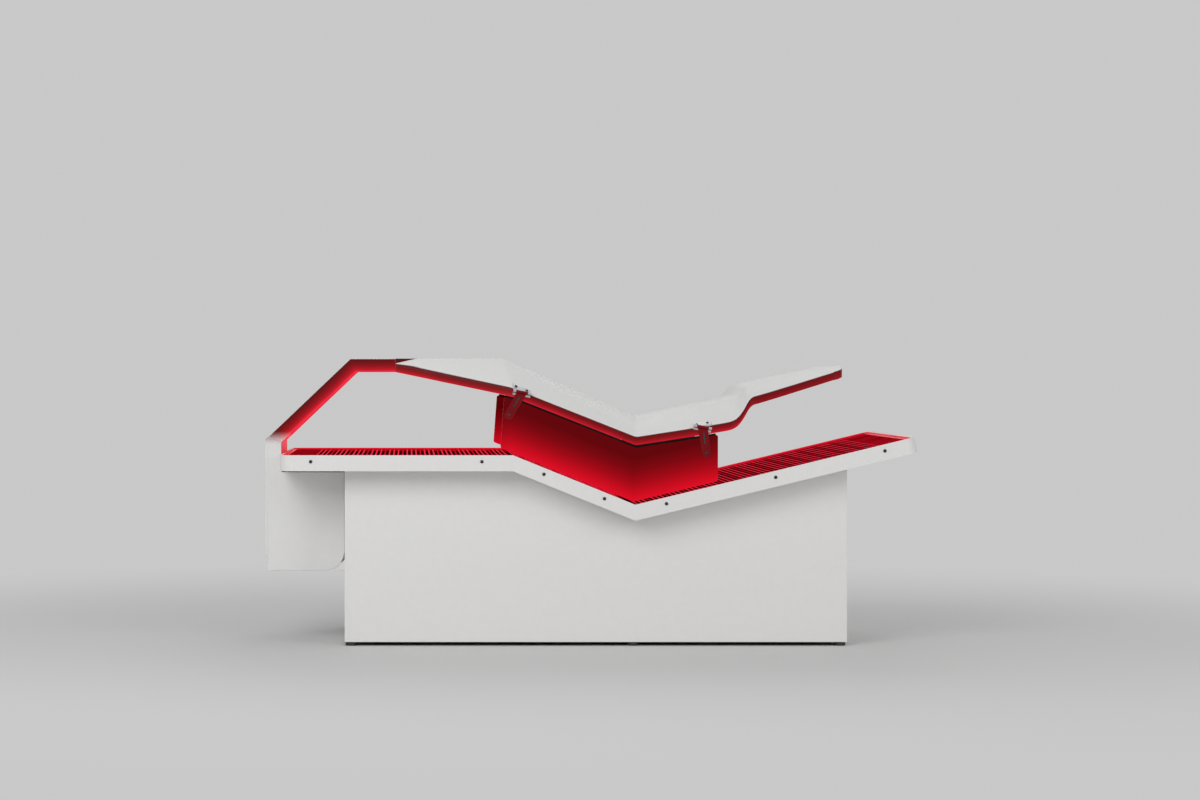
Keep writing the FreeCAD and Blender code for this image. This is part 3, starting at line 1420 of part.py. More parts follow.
tray_shell()
rim_screws()
for part_of_deck in ("foot", "thigh", "back"):
    light_stack(part_of_deck)
base_frame()
levelling_feet()
side_panels()
end_panels()
floor_pan()
power_supplies()
control_box()
for side_name, side_y in (("left", "-fan_spread"), ("right", "fan_spread")):
    fan_housing("fan_housing_" + side_name, side_y)
    fan_rotor("fan_rotor_" + side_name, side_y)
fan_guards()
mains_inlet()
mains_switch()
pivot_brackets()
lift_gearmotor()
hinge_shaft()
foot_box()
end_cover()
canopy_foot_shell()
canopy_body_shell()
canopy_boards()
visor()
shields()
shield_hinges()
doc.recompute()

# Check the document, then write one file for each sub-part

for item in doc.Objects:
    if "Invalid" in item.State or "Error" in item.State:
        raise RuntimeError("%s failed: %s" % (item.Label, item.State))
os.makedirs("parts", exist_ok=True)
for node in NODES:
    if node.Shape.isNull() or not node.Shape.isValid() or not node.Shape.Solids:
        raise RuntimeError("%s has no valid solid" % node.Label)
for node in NODES:
    node.Shape.exportStep("parts/%s.step" % node.Label)
print("%d sub-parts, %d solids" % (len(NODES), sum(len(node.Shape.Solids) for node in NODES)))
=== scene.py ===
import json
import math

import bmesh
import bpy
import numpy as np
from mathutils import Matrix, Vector

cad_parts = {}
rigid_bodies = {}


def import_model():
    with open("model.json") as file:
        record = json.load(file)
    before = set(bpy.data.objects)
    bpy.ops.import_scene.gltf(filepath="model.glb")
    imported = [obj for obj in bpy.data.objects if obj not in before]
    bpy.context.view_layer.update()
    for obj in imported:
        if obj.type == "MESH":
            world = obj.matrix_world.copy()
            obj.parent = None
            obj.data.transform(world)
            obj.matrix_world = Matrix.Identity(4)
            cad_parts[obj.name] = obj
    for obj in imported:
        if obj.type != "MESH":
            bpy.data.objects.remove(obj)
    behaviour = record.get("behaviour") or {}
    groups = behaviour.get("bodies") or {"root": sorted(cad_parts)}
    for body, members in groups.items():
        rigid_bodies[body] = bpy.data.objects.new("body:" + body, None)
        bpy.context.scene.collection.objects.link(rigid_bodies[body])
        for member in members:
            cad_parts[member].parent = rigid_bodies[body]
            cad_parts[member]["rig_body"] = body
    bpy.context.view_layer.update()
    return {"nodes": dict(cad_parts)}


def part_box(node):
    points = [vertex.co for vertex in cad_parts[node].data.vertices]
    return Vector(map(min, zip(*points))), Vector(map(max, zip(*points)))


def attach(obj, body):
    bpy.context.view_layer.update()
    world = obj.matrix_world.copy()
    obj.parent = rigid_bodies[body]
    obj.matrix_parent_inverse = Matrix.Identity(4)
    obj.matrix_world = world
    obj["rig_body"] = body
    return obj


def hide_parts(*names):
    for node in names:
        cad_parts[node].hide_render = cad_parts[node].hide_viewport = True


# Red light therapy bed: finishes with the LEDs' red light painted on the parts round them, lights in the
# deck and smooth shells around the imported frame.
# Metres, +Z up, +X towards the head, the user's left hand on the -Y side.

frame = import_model()

# Deck line along the top of the tray's rim
TRAY_LOW, TRAY_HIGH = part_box("tray_shell")
FOOT_X = TRAY_LOW.x
LENS_INSET = 0.0125
HEAD_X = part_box("deck_lens_back")[1].x + LENS_INSET
FOOT_LENGTH = 0.805
THIGH_LENGTH = 0.456
THIGH_ANGLE = math.radians(22)
BACK_ANGLE = math.radians(13.6)
DECK_Z = 0.667
KNEE_X = FOOT_X + FOOT_LENGTH
HIP_X = KNEE_X + THIGH_LENGTH * math.cos(THIGH_ANGLE)
HIP_Z = DECK_Z - THIGH_LENGTH * math.sin(THIGH_ANGLE)

# Tray and light stack, with the lens and the boards measured down from the rim
RIM_WALL = 0.012
LEDGE = 0.010
TRAY_CORNER = 0.045
LENS_BOTTOM = 0.005
BOARD_TOP = 0.011

# Canopy
SLANT_ANGLE = math.radians(43.6)
SLANT_Z = DECK_Z + 0.0575
ROOF_Z = 1.002
SLAB = 0.048
SHELL_WALL = 0.005
LENS_HALF = 0.205
LENS_THICK = 0.008
LENS_GAP = 0.0005
LENS_LEDGE = 0.008
CANOPY_HALF = 0.235
UNDERSIDE_HALF = 0.220
OUTER_X = FOOT_X - 0.053
SEAM_X = FOOT_X + 0.399
CREASE_KNEE_X = KNEE_X - 0.026
CREASE_HIP_X = HIP_X + 0.028
CREASE_HIP_Z = HIP_Z + 0.297
CREASE_SLOPE = math.tan(math.radians(11.3))
WING_HALF = 0.400
WING_ROOT = 0.240
WING_BAND = 0.031
WING_SLOPE = math.tan(math.radians(8.7))
WING_KNEE = (KNEE_X + 0.005, DECK_Z + 0.201)
WING_HIP = (HIP_X + 0.009, HIP_Z + 0.203)
WING_END_X = HIP_X + 0.310
WING_END_Z = WING_HIP[1] + (WING_END_X - WING_HIP[0]) * WING_SLOPE
STEP_X = HIP_X + 0.374
STEP_LENGTH = 0.076
STEP_RISE = 0.046
STEP_WING_RISE = 0.0995
VISOR_HALF = 0.340
VISOR_LENGTH = 0.292
VISOR_SLOPE = math.tan(math.radians(11.7))
VISOR_WING_SLOPE = math.tan(math.radians(17.5))
VISOR_ROUND = 0.034

# Lights
LED_PITCH = 0.016
LED_DIM_EVERY = 4
LED_FOOT_MARGIN = 0.112
LED_HEAD_MARGIN = 0.100
LED_SIDE_MARGIN = 0.052


def thigh_z(x):
    """Rim height over the thigh part."""
    return DECK_Z - (x - KNEE_X) * math.tan(THIGH_ANGLE)


def back_z(x):
    """Rim height over the back part."""
    return HIP_Z + (x - HIP_X) * math.tan(BACK_ANGLE)


def rim_z(x):
    """Rim height anywhere along the deck."""
    return max(min(DECK_Z, thigh_z(x)), back_z(x))


def crease_z(x):
    """Height of the canopy's crease over the back."""
    return CREASE_HIP_Z + (x - CREASE_HIP_X) * CREASE_SLOPE


# Shader helpers


def new_material(name, colour, roughness, metallic=0.0):
    """A material with the plain values of its shader set."""
    mat = bpy.data.materials.new(name)
    mat.use_nodes = True
    preset(mat, Base_Color=(*colour, 1), Roughness=roughness, Metallic=metallic)
    return mat


def shader_of(mat):
    """The material's Principled shader."""
    return mat.node_tree.nodes["Principled BSDF"]


def preset(mat, **numbers):
    """Sets what is the same all over a surface on its shader, underscores for spaces."""
    for key, number in numbers.items():
        shader_of(mat).inputs[key.replace("_", " ")].default_value = number


def put(mat, socket, item):
    """Sets a socket to a value, or links it to another socket."""
    if isinstance(item, bpy.types.NodeSocket):
        mat.node_tree.links.new(item, socket)
    else:
        socket.default_value = item


def make(mat, kind, **inputs):
    """A shader node with its inputs set by name, underscores for spaces."""
    made = mat.node_tree.nodes.new("ShaderNode" + kind)
    for key, item in inputs.items():
        put(mat, made.inputs[key.replace("_", " ")], item)
    return made


def calc(mat, operation, *items):
    """The result of one math node."""
    made = mat.node_tree.nodes.new("ShaderNodeMath")
    made.operation = operation
    for socket, item in zip(made.inputs, items):
        put(mat, socket, item)
    return made.outputs[0]


def smooth(mat, item, low, high, start=0.0, end=1.0):
    """A smooth step of a value between two limits."""
    made = make(mat, "MapRange", Value=item)
    made.interpolation_type = "SMOOTHSTEP"
    for key, number in (("From Min", low), ("From Max", high), ("To Min", start), ("To Max", end)):
        made.inputs[key].default_value = number
    return made.outputs["Result"]


def blend(mat, factor, first, second):
    """A mix of two colours."""
    made = mat.node_tree.nodes.new("ShaderNodeMix")
    made.data_type = "RGBA"
    put(mat, made.inputs["Factor"], factor)
    for socket, item in zip([item for item in made.inputs if item.type == "RGBA"], (first, second)):
        put(mat, socket, item if isinstance(item, bpy.types.NodeSocket) else (*item, 1))
    return next(item for item in made.outputs if item.type == "RGBA")


def ramp(mat, factor, stops):
    """A colour picked from stops along a range."""
    made = make(mat, "ValToRGB", Fac=factor)
    points = made.color_ramp.elements
    while len(points) < len(stops):
        points.new(0.5)
    for point, (spot, colour) in zip(points, stops):
        point.position = spot
        point.color = (*colour, 1)
    return made.outputs["Color"]


def place(mat, stretch=(1, 1, 1)):
    """The rest position in metres, stretched along the axes."""
    position = make(mat, "TexCoord").outputs["Object"]
    return make(mat, "Mapping", Vector=position, Scale=stretch).outputs["Vector"]


def noise(mat, scale, detail=3.0, stretch=(1, 1, 1)):
    """A noise value of about 0.5."""
    made = make(mat, "TexNoise", Vector=place(mat, stretch), Scale=scale, Detail=detail)
    return made.outputs["Fac"]


def parts_of(mat, vector):
    """The three parts of a vector."""
    return make(mat, "SeparateXYZ", Vector=vector).outputs


def own_normal(mat):
    """The surface normal in the piece's own rest frame."""
    return parts_of(mat, make(mat, "TexCoord").outputs["Normal"])


def bump(mat, height, strength, distance):
    """A bump of the shader's normal."""
    made = make(mat, "Bump", Height=height, Strength=strength, Distance=distance)
    put(mat, shader_of(mat).inputs["Normal"], made.outputs["Normal"])


def vary(mat, key, item):
    """Puts a pattern or a value on one of the shader's inputs."""
    put(mat, shader_of(mat).inputs[key], item)


def base_colour(mat):
    """The socket that a material's colour comes from."""
    return shader_of(mat).inputs["Base Color"].links[0].from_socket


def glow(mat, colour, strength=1.0):
    """Gives a surface its own light: real on the LEDs, painted light on every other surface."""
    vary(mat, "Emission Color", colour)
    preset(mat, Emission_Strength=strength)


# Finishes

SHELL_WHITE = (0.79, 0.785, 0.775)
CANOPY_WHITE = (0.78, 0.775, 0.770)
DARK = (0, 0, 0)
PAINT_SHADE = 0.985
METAL_SHADE = 0.85
ACRYLIC_IOR = 1.49
NOISE_BAND = (0.3, 0.7)
WIDE_NOISE_BAND = (0.25, 0.75)
HIGH_NOISE_BAND = (0.35, 0.75)


def mottle(mat, scale, colour, share):
    """Breaks up a colour with soft patches that have a share of its brightness."""
    darker = [channel * share for channel in colour]
    vary(mat, "Base Color", blend(mat, smooth(mat, noise(mat, scale), *NOISE_BAND), colour, darker))


def coat(name, colour, roughness, grain, depth):
    """Sprayed paint: faint mottling, uneven gloss and an orange-peel skin."""
    mat = new_material(name, colour, roughness)
    mottle(mat, 40.0, colour, PAINT_SHADE)
    uneven = smooth(mat, noise(mat, 14.0), *WIDE_NOISE_BAND, roughness - 0.03, roughness + 0.04)
    vary(mat, "Roughness", uneven)
    bump(mat, noise(mat, grain, 2.0), 0.25, depth)
    return mat


# Canopy paint: the directions and heights between which the bed's red light is painted on it as glow
SIDE_FACING = (0.66, 0.42)
DOWN_FACING = (-0.15, -0.5)
FOOT_FACING = (-0.3, -0.6)
HEAD_FACING = (0.3, 0.6)
COLUMN_LIT = (SLANT_Z - 0.030, SLANT_Z + 0.022)
INSIDE_LIT = (DECK_Z - 0.006, DECK_Z)
# Dark red base colour under the painted glow
LIT_BASE = (0.050, 0.001, 0.002)
LIT_RAMP = (
    (0.00, (0.04, 0.0002, 0.001)),
    (0.30, (0.13, 0.0005, 0.002)),
    (0.55, (0.24, 0.0010, 0.005)),
    (0.80, (0.48, 0.0030, 0.014)),
    (1.00, (0.95, 0.0300, 0.060)),
)
LIT_GLOSS = 0.12
LIT_SPREAD = 0.06
SEAM_BLEND = 0.0008
SEAM_PAINTED_SHADOW = (0.060, 0.050, 0.050)
UNDERSIDE_GLOW = 0.86
# Point attribute with the share of painted glow on the canopy's shells
GLOW = "glow"


def painted_glow_canopy_coat(name, column):
    """White paint with the bed's own red light painted on its sides and underside as glow over a dark red
    base.
    """
    mat = coat(name, CANOPY_WHITE, 0.42, 420.0, 0.00002)
    preset(mat, Specular_IOR_Level=LIT_GLOSS)
    facing = own_normal(mat)
    spot = parts_of(mat, place(mat))
    # Painted shadow along the seam between the shells: dark paint and no painted glow there
    off_seam = calc(mat, "ABSOLUTE", calc(mat, "SUBTRACT", spot["X"], SEAM_X))
    clear_of_seam = smooth(mat, off_seam, SEAM_BLEND / 2, SEAM_BLEND)
    unlit = blend(mat, clear_of_seam, SEAM_PAINTED_SHADOW, base_colour(mat))
    lit = calc(mat, "MULTIPLY", smooth(mat, facing["Z"], *SIDE_FACING), clear_of_seam)
    mark = make(mat, "Attribute")
    mark.attribute_name = GLOW
    downwards = smooth(mat, facing["Z"], *DOWN_FACING, 0.0, UNDERSIDE_GLOW)
    share = calc(mat, "MAXIMUM", mark.outputs["Fac"], downwards)
    if column:
        off_back = smooth(mat, facing["X"], *FOOT_FACING, 1.0, 0.0)
        over = calc(mat, "MULTIPLY", smooth(mat, spot["Z"], *COLUMN_LIT), off_back)
        inwards = smooth(mat, facing["X"], *HEAD_FACING)
        inside = calc(mat, "MULTIPLY", inwards, smooth(mat, spot["Z"], *INSIDE_LIT))
        share = calc(mat, "MAXIMUM", share, calc(mat, "MULTIPLY", inside, UNDERSIDE_GLOW))
        lit = calc(mat, "MULTIPLY", lit, calc(mat, "MAXIMUM", over, inside))
    # Painted light: dark red base colour and red glow where the bed's light is taken to fall
    vary(mat, "Base Color", blend(mat, lit, unlit, LIT_BASE))
    uneven = smooth(mat, noise(mat, 5.0), *WIDE_NOISE_BAND, -LIT_SPREAD, LIT_SPREAD)
    red = ramp(mat, calc(mat, "ADD", share, uneven), LIT_RAMP)
    glow(mat, blend(mat, lit, DARK, red))
    return mat


def height_over_deck(mat):
    """How far a point stands over the line of the deck's rim."""
    spot = parts_of(mat, place(mat))
    thigh_slope = -math.tan(THIGH_ANGLE)
    back_slope = math.tan(BACK_ANGLE)
    thigh = calc(mat, "MULTIPLY_ADD", spot["X"], thigh_slope, DECK_Z - KNEE_X * thigh_slope)
    back = calc(mat, "MULTIPLY_ADD", spot["X"], back_slope, HIP_Z - HIP_X * back_slope)
    line = calc(mat, "MAXIMUM", calc(mat, "MINIMUM", thigh, DECK_Z), back)
    return calc(mat, "SUBTRACT", spot["Z"], line)


# Painted red light inside the tray's rim: where it lies and its glow colour
INSIDE_RIM = (RIM_WALL - 0.0045, RIM_WALL - 0.0020)
TRAY_LIT_HEIGHT = (-0.034, -0.030)
TRAY_GLOW = (0.62, 0.004, 0.020)


def tray_coat_with_painted_glow():
    """White paint with the light stack's red light painted inside the rim as glow over a dark red base."""
    mat = coat("tray_paint_painted_glow", SHELL_WHITE, 0.40, 420.0, 0.00012)
    spot = parts_of(mat, place(mat))
    from_side = calc(mat, "SUBTRACT", TRAY_HIGH.y, calc(mat, "ABSOLUTE", spot["Y"]))
    from_foot = calc(mat, "SUBTRACT", spot["X"], FOOT_X)
    from_head = calc(mat, "SUBTRACT", HEAD_X, spot["X"])
    squares = []
    for inward in (from_side, calc(mat, "MINIMUM", from_foot, from_head)):
        into_corner = calc(mat, "MAXIMUM", calc(mat, "SUBTRACT", TRAY_CORNER, inward), 0.0)
        squares.append(calc(mat, "POWER", into_corner, 2.0))
    inset = calc(mat, "SUBTRACT", TRAY_CORNER, calc(mat, "SQRT", calc(mat, "ADD", *squares)))
    shallow = smooth(mat, height_over_deck(mat), *TRAY_LIT_HEIGHT)
    lit = calc(mat, "MULTIPLY", smooth(mat, inset, *INSIDE_RIM), shallow)
    unlit = base_colour(mat)
    vary(mat, "Base Color", blend(mat, lit, unlit, LIT_BASE))
    glow(mat, blend(mat, lit, DARK, TRAY_GLOW))
    return mat


# Painted glow of the lens, faint over the lights and bright along its side edges, and how clear it is
LENS_ALPHA = (0.03, 0.07)
LENS_BORDER_ALPHA = 0.80
LENS_GLOW = (0.10, 0.001, 0.004)
LENS_BORDER_GLOW = (0.72, 0.004, 0.020)


def clear_acrylic():
    """Clear low-glare sheet with wiping marks, its faint red from the lights under it painted as glow,
    brighter and less clear along its side edges.
    """
    mat = new_material("acrylic_clear", (0.040, 0.002, 0.003), 0.10)
    preset(mat, IOR=ACRYLIC_IOR, Specular_IOR_Level=0.0)
    wiped = smooth(mat, noise(mat, 9.0, 4.0, (1, 3, 1)), *HIGH_NOISE_BAND, *LENS_ALPHA)
    across = calc(mat, "ABSOLUTE", parts_of(mat, place(mat))["Y"])
    border = smooth(mat, across, TRAY_HIGH.y - LED_SIDE_MARGIN / 2, TRAY_HIGH.y - RIM_WALL)
    vary(mat, "Alpha", calc(mat, "MULTIPLY_ADD", border, LENS_BORDER_ALPHA, wiped))
    glow(mat, blend(mat, border, LENS_GLOW, LENS_BORDER_GLOW))
    return mat


# Painted glow of the shields by height over the deck, on their faces and brighter on their edges
SHIELD_TALL = 0.20
SHIELD_EDGE_FACING = (0.97, 0.70)
SHIELD_RAMP = (
    (0.02, (0.74, 0.0040, 0.020)),
    (0.14, (0.57, 0.0025, 0.012)),
    (0.35, (0.32, 0.0012, 0.006)),
    (0.55, (0.17, 0.0006, 0.003)),
    (0.78, (0.08, 0.0003, 0.001)),
)
SHIELD_EDGE_RAMP = (
    (0.02, (0.95, 0.0120, 0.035)),
    (0.35, (0.80, 0.0060, 0.024)),
    (0.80, (0.45, 0.0030, 0.013)),
)


def frosted_acrylic():
    """Frosted sheet with the deck's light painted on it as glow: bright along its foot, deep red above,
    brighter on its edges.
    """
    mat = new_material("acrylic_frosted", LIT_BASE, 0.34)
    preset(mat, IOR=ACRYLIC_IOR, Specular_IOR_Level=0.03)
    height = calc(mat, "DIVIDE", height_over_deck(mat), SHIELD_TALL)
    edge = smooth(mat, calc(mat, "ABSOLUTE", own_normal(mat)["Y"]), *SHIELD_EDGE_FACING)
    glow(mat, blend(mat, edge, ramp(mat, height, SHIELD_RAMP), ramp(mat, height, SHIELD_EDGE_RAMP)))
    bump(mat, noise(mat, 900.0, 2.0), 0.3, 0.00008)
    vary(mat, "Roughness", smooth(mat, noise(mat, 25.0), *NOISE_BAND, 0.32, 0.44))
    return mat


LED_RIM_SHARE = 0.40
LED_FACING = (0.3, 0.95)


def led_finish(name, colour, strength):
    """An LED's surface with its own light, brighter where it faces up."""
    mat = new_material(name, (0.06, 0.003, 0.005), 0.15)
    preset(mat, Specular_IOR_Level=0.0)
    upward = calc(mat, "ABSOLUTE", own_normal(mat)["Z"])
    rim = [channel * LED_RIM_SHARE for channel in colour]
    glow(mat, blend(mat, smooth(mat, upward, *LED_FACING), rim, colour), strength)
    return mat


# Board colour, and the LEDs' red light painted on it as glow
BOARD_BASE = (0.012, 0.001, 0.001)
TRACK_BASE = (0.040, 0.003, 0.003)
BOARD_GLOW = (0.008, 0.0001, 0.0003)
TRACK_GLOW = (0.030, 0.0003, 0.001)


def board_with_painted_glow():
    """Dark red solder mask with a fine grid of tracks, and the LEDs' red light painted on it as a faint
    glow, brighter on the tracks.
    """
    mat = new_material("led_board", BOARD_BASE, 0.60)
    preset(mat, Specular_IOR_Level=0.0)
    tracks = make(mat, "TexBrick", Vector=place(mat), Scale=1.0, Mortar_Size=0.0006,
                  Brick_Width=LED_PITCH, Row_Height=LED_PITCH).outputs["Fac"]
    vary(mat, "Base Color", blend(mat, tracks, BOARD_BASE, TRACK_BASE))
    glow(mat, blend(mat, tracks, BOARD_GLOW, TRACK_GLOW))
    return mat


# Painted red light on the liner, and the brighter painted reflections in its streaks
LINER_GLOW = (0.10, 0.0005, 0.002)
STREAK_PAINTED_REFLECTION = (0.40, 0.002, 0.010)


def liner_with_painted_glow():
    """White reflector round the board, with the red light it carries painted as glow on a dark base, and
    soft streaks of painted reflection.
    """
    mat = new_material("deck_liner", (0.060, 0.002, 0.003), 0.30)
    preset(mat, Specular_IOR_Level=0.0)
    painted_reflection_streak = smooth(mat, noise(mat, 3.0, 1.0, (2, 12, 2)), *NOISE_BAND)
    glow(mat, blend(mat, painted_reflection_streak, LINER_GLOW, STREAK_PAINTED_REFLECTION))
    return mat


def brushed(name, colour, roughness, stretch):
    """Metal with fine lines along one axis."""
    mat = new_material(name, colour, roughness, 1.0)
    lines = noise(mat, 300.0, 3.0, stretch)
    vary(mat, "Roughness", smooth(mat, lines, *NOISE_BAND, roughness - 0.08, roughness + 0.10))
    mottle(mat, 20.0, colour, METAL_SHADE)
    bump(mat, lines, 0.12, 0.00005)
    return mat


def steel_with_painted_reflection():
    """Hinge steel beside the glowing shields, with their red reflection painted into its colour and as a
    faint glow.
    """
    mat = brushed("hinge_painted_reflection", (0.17, 0.014, 0.017), 0.34, (1, 30, 30))
    glow(mat, (0.05, 0.0002, 0.0012, 1))
    return mat


def moulded(name, colour, roughness, grain):
    """Dark plastic, rubber or blackened steel with a fine grain."""
    mat = new_material(name, colour, roughness)
    lighter = [channel * 1.35 + 0.004 for channel in colour]
    vary(mat, "Base Color", blend(mat, smooth(mat, noise(mat, 30.0), *HIGH_NOISE_BAND), colour, lighter))
    vary(mat, "Roughness", smooth(mat, noise(mat, 60.0), *NOISE_BAND, roughness - 0.06, roughness + 0.06))
    bump(mat, noise(mat, grain, 2.0), 0.35, 0.00012)
    return mat


def dark_trim():
    """Near-black with almost no shine."""
    mat = moulded("shield_top_dark_strip", (0.006, 0.005, 0.005), 0.85, 500.0)
    preset(mat, Specular_IOR_Level=0.05)
    return mat


# Materials by key; those of the tray, the canopy, the acrylic, the boards, the liner and the hinge straps
# carry painted red light
FINISH = {
    "powder": coat("powder_coat", SHELL_WHITE, 0.46, 520.0, 0.00016),
    "tray": tray_coat_with_painted_glow(),
    "column": painted_glow_canopy_coat("canopy_foot_paint_painted_glow", True),
    "canopy": painted_glow_canopy_coat("canopy_paint_painted_glow", False),
    "frame": coat("frame_paint", (0.16, 0.165, 0.17), 0.50, 500.0, 0.00016),
    "clear": clear_acrylic(),
    "frosted": frosted_acrylic(),
    "board": board_with_painted_glow(),
    "liner": liner_with_painted_glow(),
    "package": led_finish("led_package", (0.08, 0.0005, 0.002), 1.0),
    "bright": led_finish("led_bright", (1.0, 0.030, 0.060), 1.15),
    "dim": led_finish("led_dim", (0.70, 0.008, 0.026), 1.0),
    "aluminium": brushed("aluminium", (0.70, 0.71, 0.72), 0.34, (1, 40, 40)),
    "sheet": brushed("zinc_sheet", (0.52, 0.53, 0.54), 0.42, (1, 25, 1)),
    "steel": brushed("ground_steel", (0.58, 0.58, 0.59), 0.28, (30, 1, 30)),
    "hinge": brushed("hinge_steel", (0.62, 0.62, 0.63), 0.30, (1, 30, 30)),
    "steel_with_painted_reflection": steel_with_painted_reflection(),
    "wire": brushed("plated_wire", (0.66, 0.66, 0.68), 0.18, (20, 20, 20)),
    "bronze": brushed("bush_bronze", (0.55, 0.36, 0.16), 0.35, (30, 1, 30)),
    "screw": moulded("black_oxide", (0.018, 0.018, 0.020), 0.36, 700.0),
    "black": moulded("black_plastic", (0.022, 0.022, 0.024), 0.48, 800.0),
    "rubber": moulded("foot_rubber", (0.020, 0.020, 0.020), 0.70, 400.0),
    "trim": dark_trim(),
    "motor": coat("motor_paint", (0.055, 0.058, 0.062), 0.50, 300.0, 0.0002),
}

# Mesh helpers

X_AXIS, Y_AXIS, Z_AXIS = range(3)
WELD_DISTANCE = 1e-6
NEAR = 1e-5
FLAT_ANGLE = math.radians(0.5)


def in_scene(name, data):
    """A new object in the scene."""
    made = bpy.data.objects.new(name, data)
    bpy.context.scene.collection.objects.link(made)
    return made


def add_piece(name, mesh, body, finishes):
    """Puts a mesh in the scene as a piece that moves with a body."""
    piece = in_scene(name, mesh)
    for finish in finishes:
        mesh.materials.append(FINISH[finish])
    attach(piece, body)
    return piece


def body_of(node):
    """The body that a node belongs to."""
    return frame["nodes"][node]["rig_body"]


def stand_in(name, mesh, node, finishes):
    """A piece that replaces a node, on the node's body, and hides the node."""
    piece = add_piece(name, mesh, body_of(node), finishes)
    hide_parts(node)
    return piece


def joined(node):
    """The node's faces as a bmesh, joined where their corners meet."""
    bm = bmesh.new()
    bm.from_mesh(frame["nodes"][node].data)
    bmesh.ops.remove_doubles(bm, verts=bm.verts, dist=WELD_DISTANCE)
    return bm


def welded(node):
    """The node's faces as a bmesh, with flat regions joined into single faces."""
    bm = joined(node)
    bmesh.ops.dissolve_limit(bm, angle_limit=FLAT_ANGLE, verts=bm.verts, edges=bm.edges)
    return bm


def tube(bm, rings, capped=True):
    """Faces from each ring of points to the next, with the two ends closed or open."""
    loops = [[bm.verts.new(point) for point in ring] for ring in rings]
    for near, far in zip(loops, loops[1:]):
        for step in range(len(near)):
            after = (step + 1) % len(near)
            bm.faces.new((near[step], near[after], far[after], far[step]))
    if capped:
        bm.faces.new(loops[0][::-1])
        bm.faces.new(loops[-1])


def plain_mesh(bm, name):
    """A mesh from a bmesh, which is then freed."""
    mesh = bpy.data.meshes.new(name)
    bm.to_mesh(mesh)
    bm.free()
    return mesh


def smoothed(mesh):
    """Smooth shading, without the import's own normals."""
    if "custom_normal" in mesh.attributes:
        mesh.attributes.remove(mesh.attributes["custom_normal"])
    mesh.shade_smooth()
    return mesh


def outward_mesh(bm, name):
    """A smooth-shaded mesh from a bmesh, with its faces turned outwards."""
    bmesh.ops.recalc_face_normals(bm, faces=bm.faces)
    return smoothed(plain_mesh(bm, name))


def soften(piece, width, segments=3, angle=32):
    """Rounds the sharp edges of a piece."""
    rounding = piece.modifiers.new("rounded_edges", "BEVEL")
    rounding.width = width
    rounding.segments = segments
    rounding.limit_method = "ANGLE"
    rounding.angle_limit = math.radians(angle)
    rounding.harden_normals = True
    rounding.miter_outer = "MITER_ARC"


def dressed(node, finish, width):
    """A copy of a node with rounded edges, which stands for it."""
    name = node + "_skin"
    soften(stand_in(name, smoothed(plain_mesh(welded(node), name)), node, [finish]), width)


def painted(node, finish):
    """Gives a node its finish and keeps its shape."""
    mesh = frame["nodes"][node].data
    mesh.materials.clear()
    mesh.materials.append(FINISH[finish])


def islands(node):
    """The lowest and highest corner of each separate solid of a node."""
    bm = joined(node)
    left = set(bm.verts)
    found = []
    while left:
        front = [left.pop()]
        low = high = front[0].co.copy()
        while front:
            vert = front.pop()
            low = Vector([min(pair) for pair in zip(low, vert.co)])
            high = Vector([max(pair) for pair in zip(high, vert.co)])
            for edge in vert.link_edges:
                other = edge.other_vert(vert)
                if other in left:
                    left.remove(other)
                    front.append(other)
        found.append((low, high))
    bm.free()
    return sorted(found, key=lambda item: tuple(round(part, 5) for part in item[0]))


# Screws with a domed head and a hexagon socket

SCREW_SIDES = 24
SCREW_CREASE = math.radians(40)
SCREW_PROFILE = ((1.0, 0.0), (1.0, 0.35), (0.94, 0.66), (0.80, 0.88), (0.60, 1.0))
SOCKET_SHARE = 0.44
SOCKET_DEPTH = 0.30

# Radius and rise of each kind of head
RIM_SCREW = (0.006, 0.003)
HINGE_SCREW = (0.004, 0.002)
WRAP_SCREW = (0.005, 0.0028)


def hexagon_radius(angle):
    """Distance from the middle to the edge of a hexagon whose corners lie one unit out."""
    within = (angle % (math.pi / 3)) - math.pi / 6
    return math.cos(math.pi / 6) / math.cos(within)


def add_screw(bm, seat, outward, radius, rise):
    """One button head on its seat, with its socket cut in."""
    across = outward.orthogonal().normalized()
    upright = outward.cross(across)
    turns = [math.tau * step / SCREW_SIDES for step in range(SCREW_SIDES)]
    socket = [SOCKET_SHARE * hexagon_radius(turn) for turn in turns]
    profile = [([share] * SCREW_SIDES, height) for share, height in SCREW_PROFILE]
    profile += [(socket, 1.0), (socket, SOCKET_DEPTH)]
    rings = []
    spokes = [across * math.cos(turn) + upright * math.sin(turn) for turn in turns]
    for shares, height in profile:
        middle = seat + outward * (height * rise)
        rings.append([middle + spoke * (share * radius) for spoke, share in zip(spokes, shares)])
    tube(bm, rings)


def screws(node, axis, facing, radius, rise):
    """Domed screws in the places of a node's plain ones; facing 0 points them away from the middle."""
    bm = bmesh.new()
    for low, high in islands(node):
        seat = (low + high) / 2
        side = facing if facing else (1 if seat[axis] > 0 else -1)
        outward = Vector((0, 0, 0))
        outward[axis] = side
        seat[axis] = (high[axis] if side > 0 else low[axis]) - side * rise
        add_screw(bm, seat, outward, radius, rise)
    name = node + "_heads"
    piece = stand_in(name, outward_mesh(bm, name), node, ["screw"])
    piece.data.set_sharp_from_angle(angle=SCREW_CREASE)


# Lights in the deck and the canopy


def face_line(node, upward):
    """Where a tilted board's upper or lower face starts and ends in the side view."""
    points = [vert.co for vert in frame["nodes"][node].data.vertices]
    pick = max if upward else min
    ends = []
    for end in (min(point.x for point in points), max(point.x for point in points)):
        heights = [point.z for point in points if abs(point.x - end) < NEAR]
        ends.append(Vector((end, 0, pick(heights))))
    return ends


